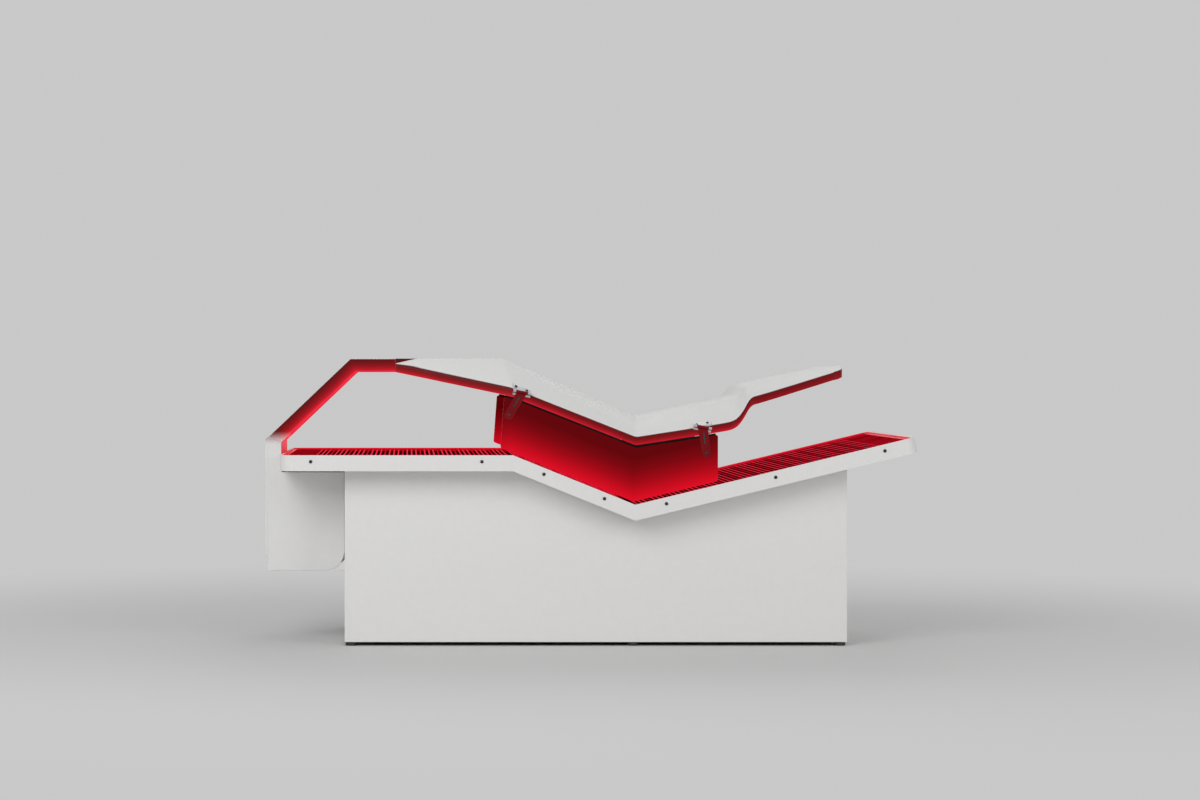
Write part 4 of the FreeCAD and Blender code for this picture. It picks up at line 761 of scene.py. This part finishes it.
LED_HALF = 0.0036
LED_TALL = 0.0012
OPTIC_SIDES = 8
LED_FINISHES = ("package", "bright", "dim")
PACKAGE, BRIGHT, DIM = range(len(LED_FINISHES))

# Radius and height of each ring of an LED's optic: a bare dome, and a cone that gathers the light
LOW_DOME = ((0.0030, 0.0012), (0.0022, 0.0026), (0, 0.0032))
COLLIMATOR = ((0.0021, 0.0012), (0.0031, 0.0044), (0.0027, 0.0051), (0, 0.0054))


def led_template(optic):
    """Points, dark faces and lit faces of one LED: a square package under its optic."""
    points = []
    for height in (0.0, LED_TALL):
        for x, y in ((1, -1), (1, 1), (-1, 1), (-1, -1)):
            points.append((x * LED_HALF, y * LED_HALF, height))
    ring = len(points)
    for radius, height in optic[:-1]:
        for step in range(OPTIC_SIDES):
            turn = math.tau * (step - 1) / OPTIC_SIDES
            points.append((radius * math.cos(turn), radius * math.sin(turn), height))
    points.append((0, 0, optic[-1][1]))
    dark = [(3, 2, 1, 0)]
    for side in range(4):
        after = (side + 1) % 4
        dark.append((side, after, 4 + after, 4 + side))
        seat = [ring + (2 * side + step) % OPTIC_SIDES for step in (2, 1, 0)]
        dark.append((4 + side, 4 + after, *seat))
    bands = []
    for low in range(ring, len(points) - 1, OPTIC_SIDES):
        high = low + OPTIC_SIDES
        for step in range(OPTIC_SIDES):
            after = (step + 1) % OPTIC_SIDES
            if high < len(points) - 1:
                bands.append((low + step, low + after, high + after, high + step))
            else:
                bands.append((low + step, low + after, high))
    lit = 2 * OPTIC_SIDES
    return np.array(points), dark + bands[:-lit], bands[-lit:]


def led_field(name, node, upward, margins, half, optic):
    """LEDs on one face of a board, in rows and columns, with every fourth column dimmer."""
    start, end = face_line(node, upward)
    along = (end - start).normalized()
    out = Vector((-along.z, 0, along.x)) * (1 if upward else -1)
    across = out.cross(along)
    length = (end - start).length - margins[0] - margins[1]
    count = int(length / LED_PITCH)
    first = start + along * (margins[0] + (length - (count - 1) * LED_PITCH) / 2)
    rows = int(2 * half / LED_PITCH)
    points, dark, lit = led_template(optic)
    template = points @ np.array([along, across, out])
    spots = []
    tones = []
    for column in range(count):
        for row in range(rows):
            sideways = (row - (rows - 1) / 2) * LED_PITCH
            spots.append(first + along * (column * LED_PITCH) + across * sideways)
            tones.append(DIM if column % LED_DIM_EVERY == LED_DIM_EVERY - 1 else BRIGHT)
    verts = (np.array(spots)[:, None, :] + template[None, :, :]).reshape(-1, 3)
    faces = []
    finish = []
    for number, tone in enumerate(tones):
        shift = number * len(points)
        faces += [tuple(index + shift for index in face) for face in dark + lit]
        finish += [PACKAGE] * len(dark) + [tone] * len(lit)
    mesh = bpy.data.meshes.new(name)
    mesh.from_pydata(verts.tolist(), [], faces)
    mesh.polygons.foreach_set("material_index", finish)
    add_piece(name, mesh, body_of(node), LED_FINISHES)


def deck_lights():
    """LEDs on the three boards of the deck."""
    half = TRAY_HIGH.y - LED_SIDE_MARGIN
    foot_start = LED_FOOT_MARGIN - (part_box("led_board_foot")[0].x - FOOT_X)
    head_end = LED_HEAD_MARGIN - (HEAD_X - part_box("led_board_back")[1].x)
    gap = LED_PITCH / 4
    for part, margins in (("foot", (foot_start, gap)), ("thigh", (gap, gap)), ("back", (gap, head_end))):
        led_field("deck_leds_" + part, "led_board_" + part, True, margins, half, COLLIMATOR)


def canopy_lights():
    """LEDs under the boards of the canopy."""
    half = LENS_HALF - LENS_LEDGE - LED_PITCH
    margin = LED_PITCH / 2
    for part in ("slant", "roof", "thigh", "back"):
        led_field("canopy_leds_" + part, "canopy_board_" + part, False, (margin, margin), half, LOW_DOME)


# Reflector round the deck's LEDs

LINER_RINGS = 7
LINER_CORNER_STEPS = 6
LINER_FOOT_STEPS = 12
LINER_THIGH_STEPS = 8
LINER_BACK_STEPS = 14
LINER_END_STEPS = 10
LINER_LIFT = 0.0012
LINER_GAP = 0.0005
LINER_TOP = LENS_BOTTOM + 0.001
LINER_SHEET = 0.0008
LINER_FALL = 0.8
LINER_CORNER_LOSS = 0.016
LINER_LEAST_CORNER = 0.004


def liner_loop(foot, head, half, corner, drop):
    """A rounded rectangle in plan that follows the deck's bends at a drop below the rim."""
    foot_x = FOOT_X + foot
    head_x = HEAD_X - head
    side = list(np.linspace(foot_x + corner, KNEE_X, LINER_FOOT_STEPS, endpoint=False))
    side += list(np.linspace(KNEE_X, HIP_X, LINER_THIGH_STEPS, endpoint=False))
    side += list(np.linspace(HIP_X, head_x - corner, LINER_BACK_STEPS + 1))
    loop = [(x, -half) for x in side]

    def bend(x, y, start):
        for step in range(1, LINER_CORNER_STEPS):
            turn = start + math.pi / 2 * step / LINER_CORNER_STEPS
            loop.append((x + corner * math.cos(turn), y + corner * math.sin(turn)))

    bend(head_x - corner, corner - half, -math.pi / 2)
    ends = list(np.linspace(corner - half, half - corner, LINER_END_STEPS + 1))
    loop.extend((head_x, y) for y in ends)
    bend(head_x - corner, half - corner, 0)
    loop.extend((x, half) for x in side[::-1])
    bend(foot_x + corner, half - corner, math.pi / 2)
    loop.extend((foot_x, y) for y in ends[::-1])
    bend(foot_x + corner, corner - half, math.pi)
    return [Vector((x, y, rim_z(x) - drop)) for x, y in loop]


def deck_liner():
    """A cove from under the lens down to the edge of the LED boards."""
    outer = RIM_WALL + LEDGE + LINER_GAP
    floor = BOARD_TOP - LINER_LIFT
    loops = []
    for ring in range(LINER_RINGS + 1):
        share = ring / LINER_RINGS
        fall = math.sin(share * math.pi / 2) ** LINER_FALL
        reach = 1 - math.cos(share * math.pi / 2)
        foot = outer + (LED_FOOT_MARGIN - outer) * reach
        head = outer + (LED_HEAD_MARGIN - outer) * reach
        half = TRAY_HIGH.y - outer - (LED_SIDE_MARGIN - outer) * reach
        corner = max(TRAY_CORNER - outer - LINER_CORNER_LOSS * share, LINER_LEAST_CORNER)
        loops.append(liner_loop(foot, head, half, corner, LINER_TOP + (floor - LINER_TOP) * fall))
    bm = bmesh.new()
    tube(bm, loops, False)
    piece = add_piece("deck_liner", outward_mesh(bm, "deck_liner"), "base", ["liner"])
    sheet = piece.modifiers.new("sheet", "SOLIDIFY")
    sheet.thickness = LINER_SHEET
    sheet.offset = -1


# Canopy hood: one smooth skin from the seam over the wings and the step to the visor's end

# Place and rise of the crease and of the wing's edge along the step, and how far the wing has narrowed
STEP_CURVE = (
    (0.00, 0.0, -0.22, 0.11, 0.0),
    (0.25, 0.5, 0.18, 0.43, 0.5),
    (0.50, 1.0, 0.57, 0.93, 1.0),
)
ROUND_STEPS = 6
BEND_REACH = 0.012
FULL_REACH = 9.0
EDGE_ROUND = 0.012
EDGE_STEPS = 4
HOOD_EDGE = 0.003
HOOD_EDGE_ANGLE = 26
CUT_PAST = SLAB * 1.5
WING_TIP = 0.074
# Strength of the painted glow on the wings and on the visor
WING_GLOW = 0.88
VISOR_GLOW = 0.55
CREASE_LINE, TOP_LINE, LOW_LINE = 1, 2, 3


def ring_points(crease_x, crease_height, edge_x, edge_low, edge_half, tip=0.0):
    """One ring of the hood: roof edge, crease, wing edge and underside on both sides."""
    low = crease_height - SLAB
    right = [
        Vector((crease_x, CANOPY_HALF, crease_height)),
        Vector((crease_x, CANOPY_HALF, crease_height - tip)),
        Vector((edge_x, edge_half, edge_low + WING_BAND)),
        Vector((edge_x, edge_half, edge_low)),
        Vector((crease_x, UNDERSIDE_HALF, low)),
    ]
    left = [Vector((point.x, -point.y, point.z)) for point in right]
    return right + left[::-1]


def hood_stations():
    """Control rings of the hood and how far each is rounded, at most to the middle of the next stretch."""
    crease_end = STEP_X - STEP_LENGTH / 2
    step_z = crease_z(STEP_X)
    visor_x = STEP_X + STEP_LENGTH
    visor_z = step_z + STEP_RISE + STEP_LENGTH / 2 * VISOR_SLOPE
    visor_edge = WING_END_Z + STEP_WING_RISE
    root_z = ROOF_Z - SLAB
    share = WING_TIP / (WING_KNEE[0] - SEAM_X)
    tip_x = SEAM_X + WING_TIP
    tip_z = root_z + (WING_KNEE[1] - root_z) * share
    tip_half = WING_ROOT + (WING_HALF - WING_ROOT) * share
    rings = [
        (ring_points(SEAM_X, ROOF_Z, SEAM_X, root_z, WING_ROOT, SLAB - WING_BAND), 0),
        (ring_points(tip_x, ROOF_Z, tip_x, tip_z, tip_half), BEND_REACH),
        (ring_points(CREASE_KNEE_X, ROOF_Z, *WING_KNEE, WING_HALF), BEND_REACH),
        (ring_points(CREASE_HIP_X, CREASE_HIP_Z, *WING_HIP, WING_HALF), BEND_REACH),
        (ring_points(crease_end, crease_z(crease_end), WING_END_X, WING_END_Z, WING_HALF), FULL_REACH),
    ]
    for crease_place, crease_rise, wing_place, wing_rise, share in STEP_CURVE:
        ring = ring_points(STEP_X + STEP_LENGTH * crease_place, step_z + STEP_RISE * crease_rise,
                           STEP_X + STEP_LENGTH * wing_place, WING_END_Z + STEP_WING_RISE * wing_rise,
                           WING_HALF - (WING_HALF - VISOR_HALF) * share)
        rings.append((ring, FULL_REACH))
    rings.append((ring_points(visor_x, visor_z, visor_x, visor_edge, VISOR_HALF), FULL_REACH))
    for step in range(ROUND_STEPS + 1):
        turn = math.pi / 2 * step / ROUND_STEPS
        run = VISOR_LENGTH - VISOR_ROUND * (1 - math.sin(turn))
        half = VISOR_HALF - VISOR_ROUND * (1 - math.cos(turn))
        ring = ring_points(visor_x + run, visor_z + run * VISOR_SLOPE,
                           visor_x + run, visor_edge + run * VISOR_WING_SLOPE, half)
        rings.append((ring, 0))
    return rings


def curve(start, corner, end, steps):
    """Points of a short curve that rounds a corner."""
    line = []
    for step in range(steps + 1):
        share = step / steps
        line.append(start * (1 - share) ** 2 + corner * 2 * share * (1 - share) + end * share ** 2)
    return line


def rounded_line(points, reaches):
    """A polyline with its corners replaced by short curves."""
    line = [points[0]]
    for before, corner, after, reach in zip(points, points[1:], points[2:], reaches[1:]):
        back = before - corner
        ahead = after - corner
        start = corner + back * min(0.5, reach / back.length)
        end = corner + ahead * min(0.5, reach / ahead.length)
        line += curve(start, corner, end, ROUND_STEPS)
    line.append(points[-1])
    return line


def rounded_section(points):
    """One cross-section of the hood, with the wings' upper edges rounded."""
    section = []
    for number, point in enumerate(points):
        if number not in (TOP_LINE, len(points) - 1 - TOP_LINE):
            section.append(point)
            continue
        before = points[number - 1] - point
        after = points[number + 1] - point
        start = point + before.normalized() * min(EDGE_ROUND, before.length / 2)
        end = point + after.normalized() * min(EDGE_ROUND, after.length / 2)
        section += curve(start, point, end, EDGE_STEPS)
    return section


def cutter(name, rings):
    """A closed solid between rings of points, to cut a piece with."""
    bm = bmesh.new()
    tube(bm, rings)
    return in_scene(name, outward_mesh(bm, name))


def crease_prism(start, end, top, half, name):
    """A bent slab that follows the crease line from below its top, to cut the hood with."""
    line = [(start, ROOF_Z), (CREASE_KNEE_X, ROOF_Z), (CREASE_HIP_X, CREASE_HIP_Z), (end, crease_z(end))]
    outline = [(x, z - top) for x, z in line] + [(x, z - CUT_PAST) for x, z in line[::-1]]
    return cutter(name, [[(x, y, z) for x, z in outline] for y in (-half, half)])


def carved(bm, name, cutters):
    """The mesh left of a bmesh after the cutters are taken out of it."""
    solid = in_scene(name, plain_mesh(bm, name))
    for item in cutters:
        cut = solid.modifiers.new(item.name, "BOOLEAN")
        cut.operation = "DIFFERENCE"
        cut.solver = "EXACT"
        cut.object = item
    graph = bpy.context.evaluated_depsgraph_get()
    mesh = bpy.data.meshes.new_from_object(solid.evaluated_get(graph))
    for item in [solid] + cutters:
        bpy.data.objects.remove(item)
    mesh.name = name
    return smoothed(mesh)


def hood_lines():
    """The long lines of the hood, with their bends rounded."""
    rings, reaches = zip(*hood_stations())
    return [rounded_line(points, reaches) for points in zip(*rings)]


HOOD_LINES = hood_lines()


def along_line(number, x, axis):
    """Where one of the hood's lines runs at a place along the bed."""
    line = HOOD_LINES[number]
    return float(np.interp(x, [point.x for point in line], [point[axis] for point in line]))


def mark_painted_glow(mesh, share_at):
    """Marks on every point how strongly the bed's red light is painted on the shell there."""
    marks = mesh.attributes.new(GLOW, "FLOAT", "POINT")
    shares = [min(max(share_at(vert.co), 0.0), 1.0) for vert in mesh.vertices]
    marks.data.foreach_set("value", shares)


def hood_painted_glow(point):
    """Painted glow strong along the wings' lower edge and weaker on the visor, none along their upper
    edge.
    """
    over_deck = min(max((STEP_X + STEP_LENGTH - point.x) / STEP_LENGTH, 0), 1)
    strength = VISOR_GLOW + (WING_GLOW - VISOR_GLOW) * over_deck
    return strength * (1 - (point.z - along_line(LOW_LINE, point.x, Z_AXIS)) / WING_BAND)


def foot_painted_glow(point):
    """Painted glow full on the inside of the slant and the roof, none on their outside."""
    slant = (point.x - OUTER_X) * math.sin(SLANT_ANGLE) - (point.z - SLANT_Z) * math.cos(SLANT_ANGLE)
    return min(slant, ROOF_Z - point.z) / SLAB


def canopy_hood():
    """The winged shell and the visor as one skin, hollow over its lights."""
    bm = bmesh.new()
    tube(bm, [rounded_section(points) for points in zip(*HOOD_LINES)])
    bmesh.ops.remove_doubles(bm, verts=bm.verts, dist=NEAR)
    bmesh.ops.recalc_face_normals(bm, faces=bm.faces)
    start = SEAM_X - SLAB
    end = STEP_X - STEP_LENGTH
    mesh = carved(bm, "canopy_hood", [
        crease_prism(start, end, SLAB - LENS_THICK, LENS_HALF + LENS_GAP, "lens_recess"),
        crease_prism(start, end - LENS_LEDGE, SHELL_WALL, LENS_HALF - LENS_LEDGE, "light_hollow"),
    ])
    mark_painted_glow(mesh, hood_painted_glow)
    piece = add_piece("canopy_hood", mesh, "canopy", ["canopy"])
    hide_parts("canopy_body_shell", "visor")
    soften(piece, HOOD_EDGE, angle=HOOD_EDGE_ANGLE)


# Hinge straps with a groove along their arm, and the leaves' tops folded over the wings

GROOVE_WIDTH = 0.005
GROOVE_DEPTH = 0.0016
GROOVE_START = 0.008
GROOVE_END = 0.038
GROOVE_STEPS = 8
GROOVE_REACH = GROOVE_WIDTH * 0.52
GROOVE_SKIN = 0.0001
GROOVE_FLOOR = GROOVE_DEPTH * 1.1
STRAP_EDGE = 0.0005
WRAP_HALF = 0.031
WRAP_DEEP = 0.030
WRAP_THICK = 0.003
WRAP_EDGE = 0.0009
WRAP_SCREW_SPREAD = 0.019
WRAP_SCREW_SINK = 0.0004
WRAP_AHEAD = 0.01


def groove_cutter(first, second, face, side, name):
    """A slot with round ends between two places of the side view, cut in from a face."""
    along = (second - first).normalized()
    across = Vector((-along.z, 0, along.x))
    half = GROOVE_WIDTH / 2
    rim = []
    for centre, start in ((first, 90), (second, -90)):
        for step in range(GROOVE_STEPS + 1):
            turn = math.radians(start + 180 * step / GROOVE_STEPS)
            rim.append(centre + along * half * math.cos(turn) + across * half * math.sin(turn))
    depths = (face - side * GROOVE_DEPTH, face + side * GROOVE_DEPTH)
    return cutter(name, [[(point.x, y, point.z) for point in rim] for y in depths])


def distance_to(line, point):
    """How far a point lies from a stretch of line in the side view."""
    first, second = (Vector((end.x, 0, end.z)) for end in line)
    flat = Vector((point.x, 0, point.z))
    along = second - first
    share = min(max((flat - first).dot(along) / along.length_squared, 0), 1)
    return (flat - first - along * share).length


def grooved_straps(label, side):
    """Both straps of one shield, grooved between the barrel and the first screw."""
    node = "hinge_straps_" + label
    found = islands("strap_screws_" + label)
    places = [(low + high) / 2 for low, high in found]
    face = side * (max(abs(corner.y) for corner in found[0]) - HINGE_SCREW[1])
    lines = []
    for pair in (places[:2], places[2:]):
        far, near = sorted(pair, key=lambda item: item.z)
        upward = (near - far).normalized()
        lines.append((near + upward * GROOVE_START, near + upward * GROOVE_END))
    cutters = [groove_cutter(*line, face, side, "groove_%d" % number) for number, line in enumerate(lines)]
    mesh = carved(welded(node), node + "_skin", cutters)
    piece = stand_in(node + "_skin", mesh, node, ["steel_with_painted_reflection", "black"])
    for part in mesh.polygons:
        depth = abs(face) - abs(part.center.y)
        in_groove = any(distance_to(line, part.center) < GROOVE_REACH for line in lines)
        part.material_index = int(in_groove and GROOVE_SKIN < depth < GROOVE_FLOOR)
    soften(piece, STRAP_EDGE, 2)


def wing_top(x, inward, side, lift):
    """A point over the wing's upper face, inward from its edge."""
    edge = Vector((x, side * along_line(TOP_LINE, x, Y_AXIS), along_line(TOP_LINE, x, Z_AXIS)))
    crease = Vector((x, side * CANOPY_HALF, along_line(CREASE_LINE, x, Z_AXIS)))
    slope = (crease - edge).normalized()
    return edge + slope * inward + Vector((0, 0, lift))


def leaf_tops(label, side):
    """Plates on the wing's upper face behind each hinge, with two screws each."""
    plates = bmesh.new()
    heads = bmesh.new()
    corners = ((-WRAP_HALF, -WRAP_THICK), (WRAP_HALF, -WRAP_THICK), (WRAP_HALF, WRAP_DEEP),
               (-WRAP_HALF, WRAP_DEEP))
    for low, high in islands("hinge_leaves_" + label):
        middle = (low.x + high.x) / 2
        layers = []
        for lift in (-WRAP_THICK, WRAP_THICK):
            layers.append([wing_top(middle + x, inward, side, lift) for x, inward in corners])
        tube(plates, layers)
        for x in (middle - WRAP_SCREW_SPREAD, middle + WRAP_SCREW_SPREAD):
            seat = wing_top(x, WRAP_DEEP / 2, side, WRAP_THICK)
            ahead = wing_top(x + WRAP_AHEAD, WRAP_DEEP / 2, side, WRAP_THICK) - seat
            inward = wing_top(x, WRAP_DEEP, side, WRAP_THICK) - seat
            outward = ahead.cross(inward).normalized()
            outward *= 1 if outward.z > 0 else -1
            add_screw(heads, seat - outward * WRAP_SCREW_SINK, outward, *WRAP_SCREW)
    name = "leaf_tops_" + label
    soften(add_piece(name, outward_mesh(plates, name), "canopy", ["hinge"]), WRAP_EDGE, 2)
    name = "leaf_top_screws_" + label
    piece = add_piece(name, outward_mesh(heads, name), "canopy", ["screw"])
    piece.data.set_sharp_from_angle(angle=SCREW_CREASE)


# Dark strip along the top of each shield, which nearly fills the gap under the wing

TRIM_TALL = 0.005
TRIM_LIP = 0.003
TRIM_OUT = 0.0006
TRIM_EDGE = 0.0006
TRIM_SECTION = ((-1, 0), (1, 0), (1, 0.7), (0.6, 1), (-0.6, 1), (-1, 0.7))
SHIELD_GAP = 0.006
SHIELD_LEAN = 0.013
SHIELD_CORNER = 0.008


def wing_low(x):
    """Height of the wings' lower edge along the shields."""
    knee_x, knee_z = WING_KNEE
    hip_x, hip_z = WING_HIP
    root = knee_z + (knee_x - x) * (ROOF_Z - SLAB - knee_z) / (knee_x - SEAM_X)
    thigh = knee_z + (x - knee_x) * (hip_z - knee_z) / (hip_x - knee_x)
    back = hip_z + (x - hip_x) * WING_SLOPE
    return max(min(root, thigh), back)


def shield_trim(label):
    """A strip with rounded shoulders that caps the shield's upper edge."""
    low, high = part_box("side_shield_" + label)
    middle = (low.y + high.y) / 2
    half = (high.y - low.y) / 2 + TRIM_OUT
    tall = TRIM_LIP + TRIM_TALL
    start = low.x + SHIELD_LEAN + SHIELD_CORNER
    rings = []
    for x in (start, WING_KNEE[0], WING_HIP[0], high.x - SHIELD_CORNER):
        foot = wing_low(x) - SHIELD_GAP - TRIM_LIP
        rings.append([(x, middle + y * half, foot + z * tall) for y, z in TRIM_SECTION])
    bm = bmesh.new()
    tube(bm, rings)
    name = "shield_trim_" + label
    piece = add_piece(name, outward_mesh(bm, name), "shield_" + label, ["trim"])
    soften(piece, TRIM_EDGE, 2)


# Finish and edge radius of the nodes that get rounded edges, and the nodes that keep their shape

ROUNDED = {
    "tray_shell": ("tray", 0.0035),
    "front_panel": ("powder", 0.0012),
    "foot_end_panel": ("powder", 0.0010),
    "head_end_panel": ("powder", 0.0010),
    "foot_box": ("column", 0.0022),
    "end_cover": ("column", 0.0030),
    "canopy_foot_shell": ("column", 0.0035),
    "side_shield_left": ("frosted", 0.0030),
    "side_shield_right": ("frosted", 0.0030),
    "hinge_leaves_left": ("hinge", 0.0006),
    "hinge_leaves_right": ("hinge", 0.0006),
    "levelling_feet": ("rubber", 0.0020),
    "mains_inlet": ("black", 0.0006),
    "switch_housing": ("black", 0.0005),
    "switch_rocker": ("black", 0.0005),
    "fan_housing_left": ("black", 0.0010),
    "fan_housing_right": ("black", 0.0010),
    "deck_lens_foot": ("clear", 0.0006),
    "deck_lens_thigh": ("clear", 0.0006),
    "deck_lens_back": ("clear", 0.0006),
    "canopy_lens_foot": ("clear", 0.0006),
    "canopy_lens_body": ("clear", 0.0006),
}
PLAIN = {
    "powder": ["rear_panel"],
    "frame": ["base_frame"],
    "sheet": ["floor_pan"],
    "board": ["led_board_foot", "led_board_thigh", "led_board_back", "canopy_board_slant",
              "canopy_board_roof", "canopy_board_thigh", "canopy_board_back"],
    "aluminium": ["heat_sink_foot", "heat_sink_thigh", "heat_sink_back", "power_supply_left",
                  "power_supply_right"],
    "black": ["control_box", "fan_rotor_left", "fan_rotor_right"],
    "wire": ["fan_guards"],
    "steel": ["pivot_bracket_left", "pivot_bracket_right", "hinge_shaft", "canopy_hub_left",
              "canopy_hub_right", "hinge_pins_left", "hinge_pins_right"],
    "bronze": ["pivot_bush_left", "pivot_bush_right"],
    "motor": ["lift_gearmotor"],
}

for node_name, (finish_name, edge_width) in ROUNDED.items():
    dressed(node_name, finish_name, edge_width)
mark_painted_glow(bpy.data.objects["canopy_foot_shell_skin"].data, foot_painted_glow)
for finish_name, node_names in PLAIN.items():
    for node_name in node_names:
        painted(node_name, finish_name)
screws("rim_screws", Y_AXIS, 0, *RIM_SCREW)
for node_name in ("strap_screws_left", "strap_screws_right", "leaf_screws"):
    screws(node_name, Y_AXIS, 0, *HINGE_SCREW)
screws("cover_screws", X_AXIS, -1, *RIM_SCREW)
for side_name, side_sign in (("left", -1), ("right", 1)):
    grooved_straps(side_name, side_sign)
    leaf_tops(side_name, side_sign)
    shield_trim(side_name)
deck_lights()
canopy_lights()
deck_liner()
canopy_hood()

# Stage, lamps and camera

BACKDROP = 0.58
AMBIENT = 0.42
FLOOR_GREY = 0.66
FLOOR_REACH = 60.0
FLOOR_FADE = (0.9, 4.2)
MIDDLE = (0, 0, 0.5)


def studio_floor():
    """A pale floor that fades into the background far from the object."""
    mesh = bpy.data.meshes.new("studio_floor")
    corners = [(x * FLOOR_REACH, y * FLOOR_REACH, 0) for x, y in ((-1, -1), (1, -1), (1, 1), (-1, 1))]
    mesh.from_pydata(corners, [], [(0, 1, 2, 3)])
    floor = in_scene("studio_floor", mesh)
    mat = new_material("studio_floor", [FLOOR_GREY] * 3, 0.65)
    distance = make(mat, "VectorMath", Vector=make(mat, "TexCoord").outputs["Object"])
    distance.operation = "LENGTH"
    backdrop = make(mat, "Emission", Color=(BACKDROP, BACKDROP, BACKDROP, 1), Strength=1.0)
    mixed = make(mat, "MixShader", Fac=smooth(mat, distance.outputs["Value"], *FLOOR_FADE))
    put(mat, mixed.inputs[1], shader_of(mat).outputs["BSDF"])
    put(mat, mixed.inputs[2], backdrop.outputs["Emission"])
    put(mat, mat.node_tree.nodes["Material Output"].inputs["Surface"], mixed.outputs["Shader"])
    mesh.materials.append(mat)


def studio_world():
    """Even soft light from all round, with a pale background."""
    world = bpy.data.worlds.new("studio")
    world.use_nodes = True
    bpy.context.scene.world = world
    background = world.node_tree.nodes["Background"].inputs
    background["Color"].default_value = (1, 1, 1, 1)
    rays = make(world, "LightPath").outputs
    seen = calc(world, "MAXIMUM", rays["Is Camera Ray"], rays["Is Glossy Ray"])
    seen = calc(world, "MAXIMUM", seen, rays["Is Transmission Ray"])
    level = make(world, "MapRange", Value=seen, To_Min=AMBIENT, To_Max=BACKDROP)
    put(world, background["Strength"], level.outputs["Result"])


def softbox(name, spot, size, power):
    """A large square lamp that looks at the middle of the bed."""
    lamp = bpy.data.lights.new(name, "AREA")
    lamp.size = size
    lamp.energy = power
    item = in_scene(name, lamp)
    item.location = spot
    item.rotation_euler = (Vector(MIDDLE) - Vector(spot)).to_track_quat("-Z", "Y").to_euler()


studio_floor()
studio_world()
softbox("key_light", (-3.0, -5.0, 3.6), 3.5, 150)
softbox("fill_light", (4.0, -4.5, 2.6), 3.0, 60)
softbox("back_light", (0.5, 4.0, 3.5), 3.0, 30)

# The photograph was taken square to the bed's side, with its middle left of the bed's own
IMAGE_WIDTH = 1200
IMAGE_HEIGHT = 800
CENTRE_X_PIXEL = 408
CENTRE_Y_PIXEL = 373
FOCAL_PIXELS = 2829
SENSOR_WIDTH = 36
CAMERA_SPOT = (FOOT_X + 0.443, -10.26, 0.951)
camera_data = bpy.data.cameras.new("camera")
camera_data.sensor_width = SENSOR_WIDTH
camera_data.lens = FOCAL_PIXELS / IMAGE_WIDTH * SENSOR_WIDTH
camera_data.shift_x = (IMAGE_WIDTH / 2 - CENTRE_X_PIXEL) / IMAGE_WIDTH
camera_data.shift_y = (CENTRE_Y_PIXEL - IMAGE_HEIGHT / 2) / IMAGE_WIDTH
camera = in_scene("camera", camera_data)
camera.location = CAMERA_SPOT
camera.rotation_euler = (math.pi / 2, 0, 0)
bpy.context.scene.camera = camera
bpy.context.scene.view_settings.view_transform = "Standard"
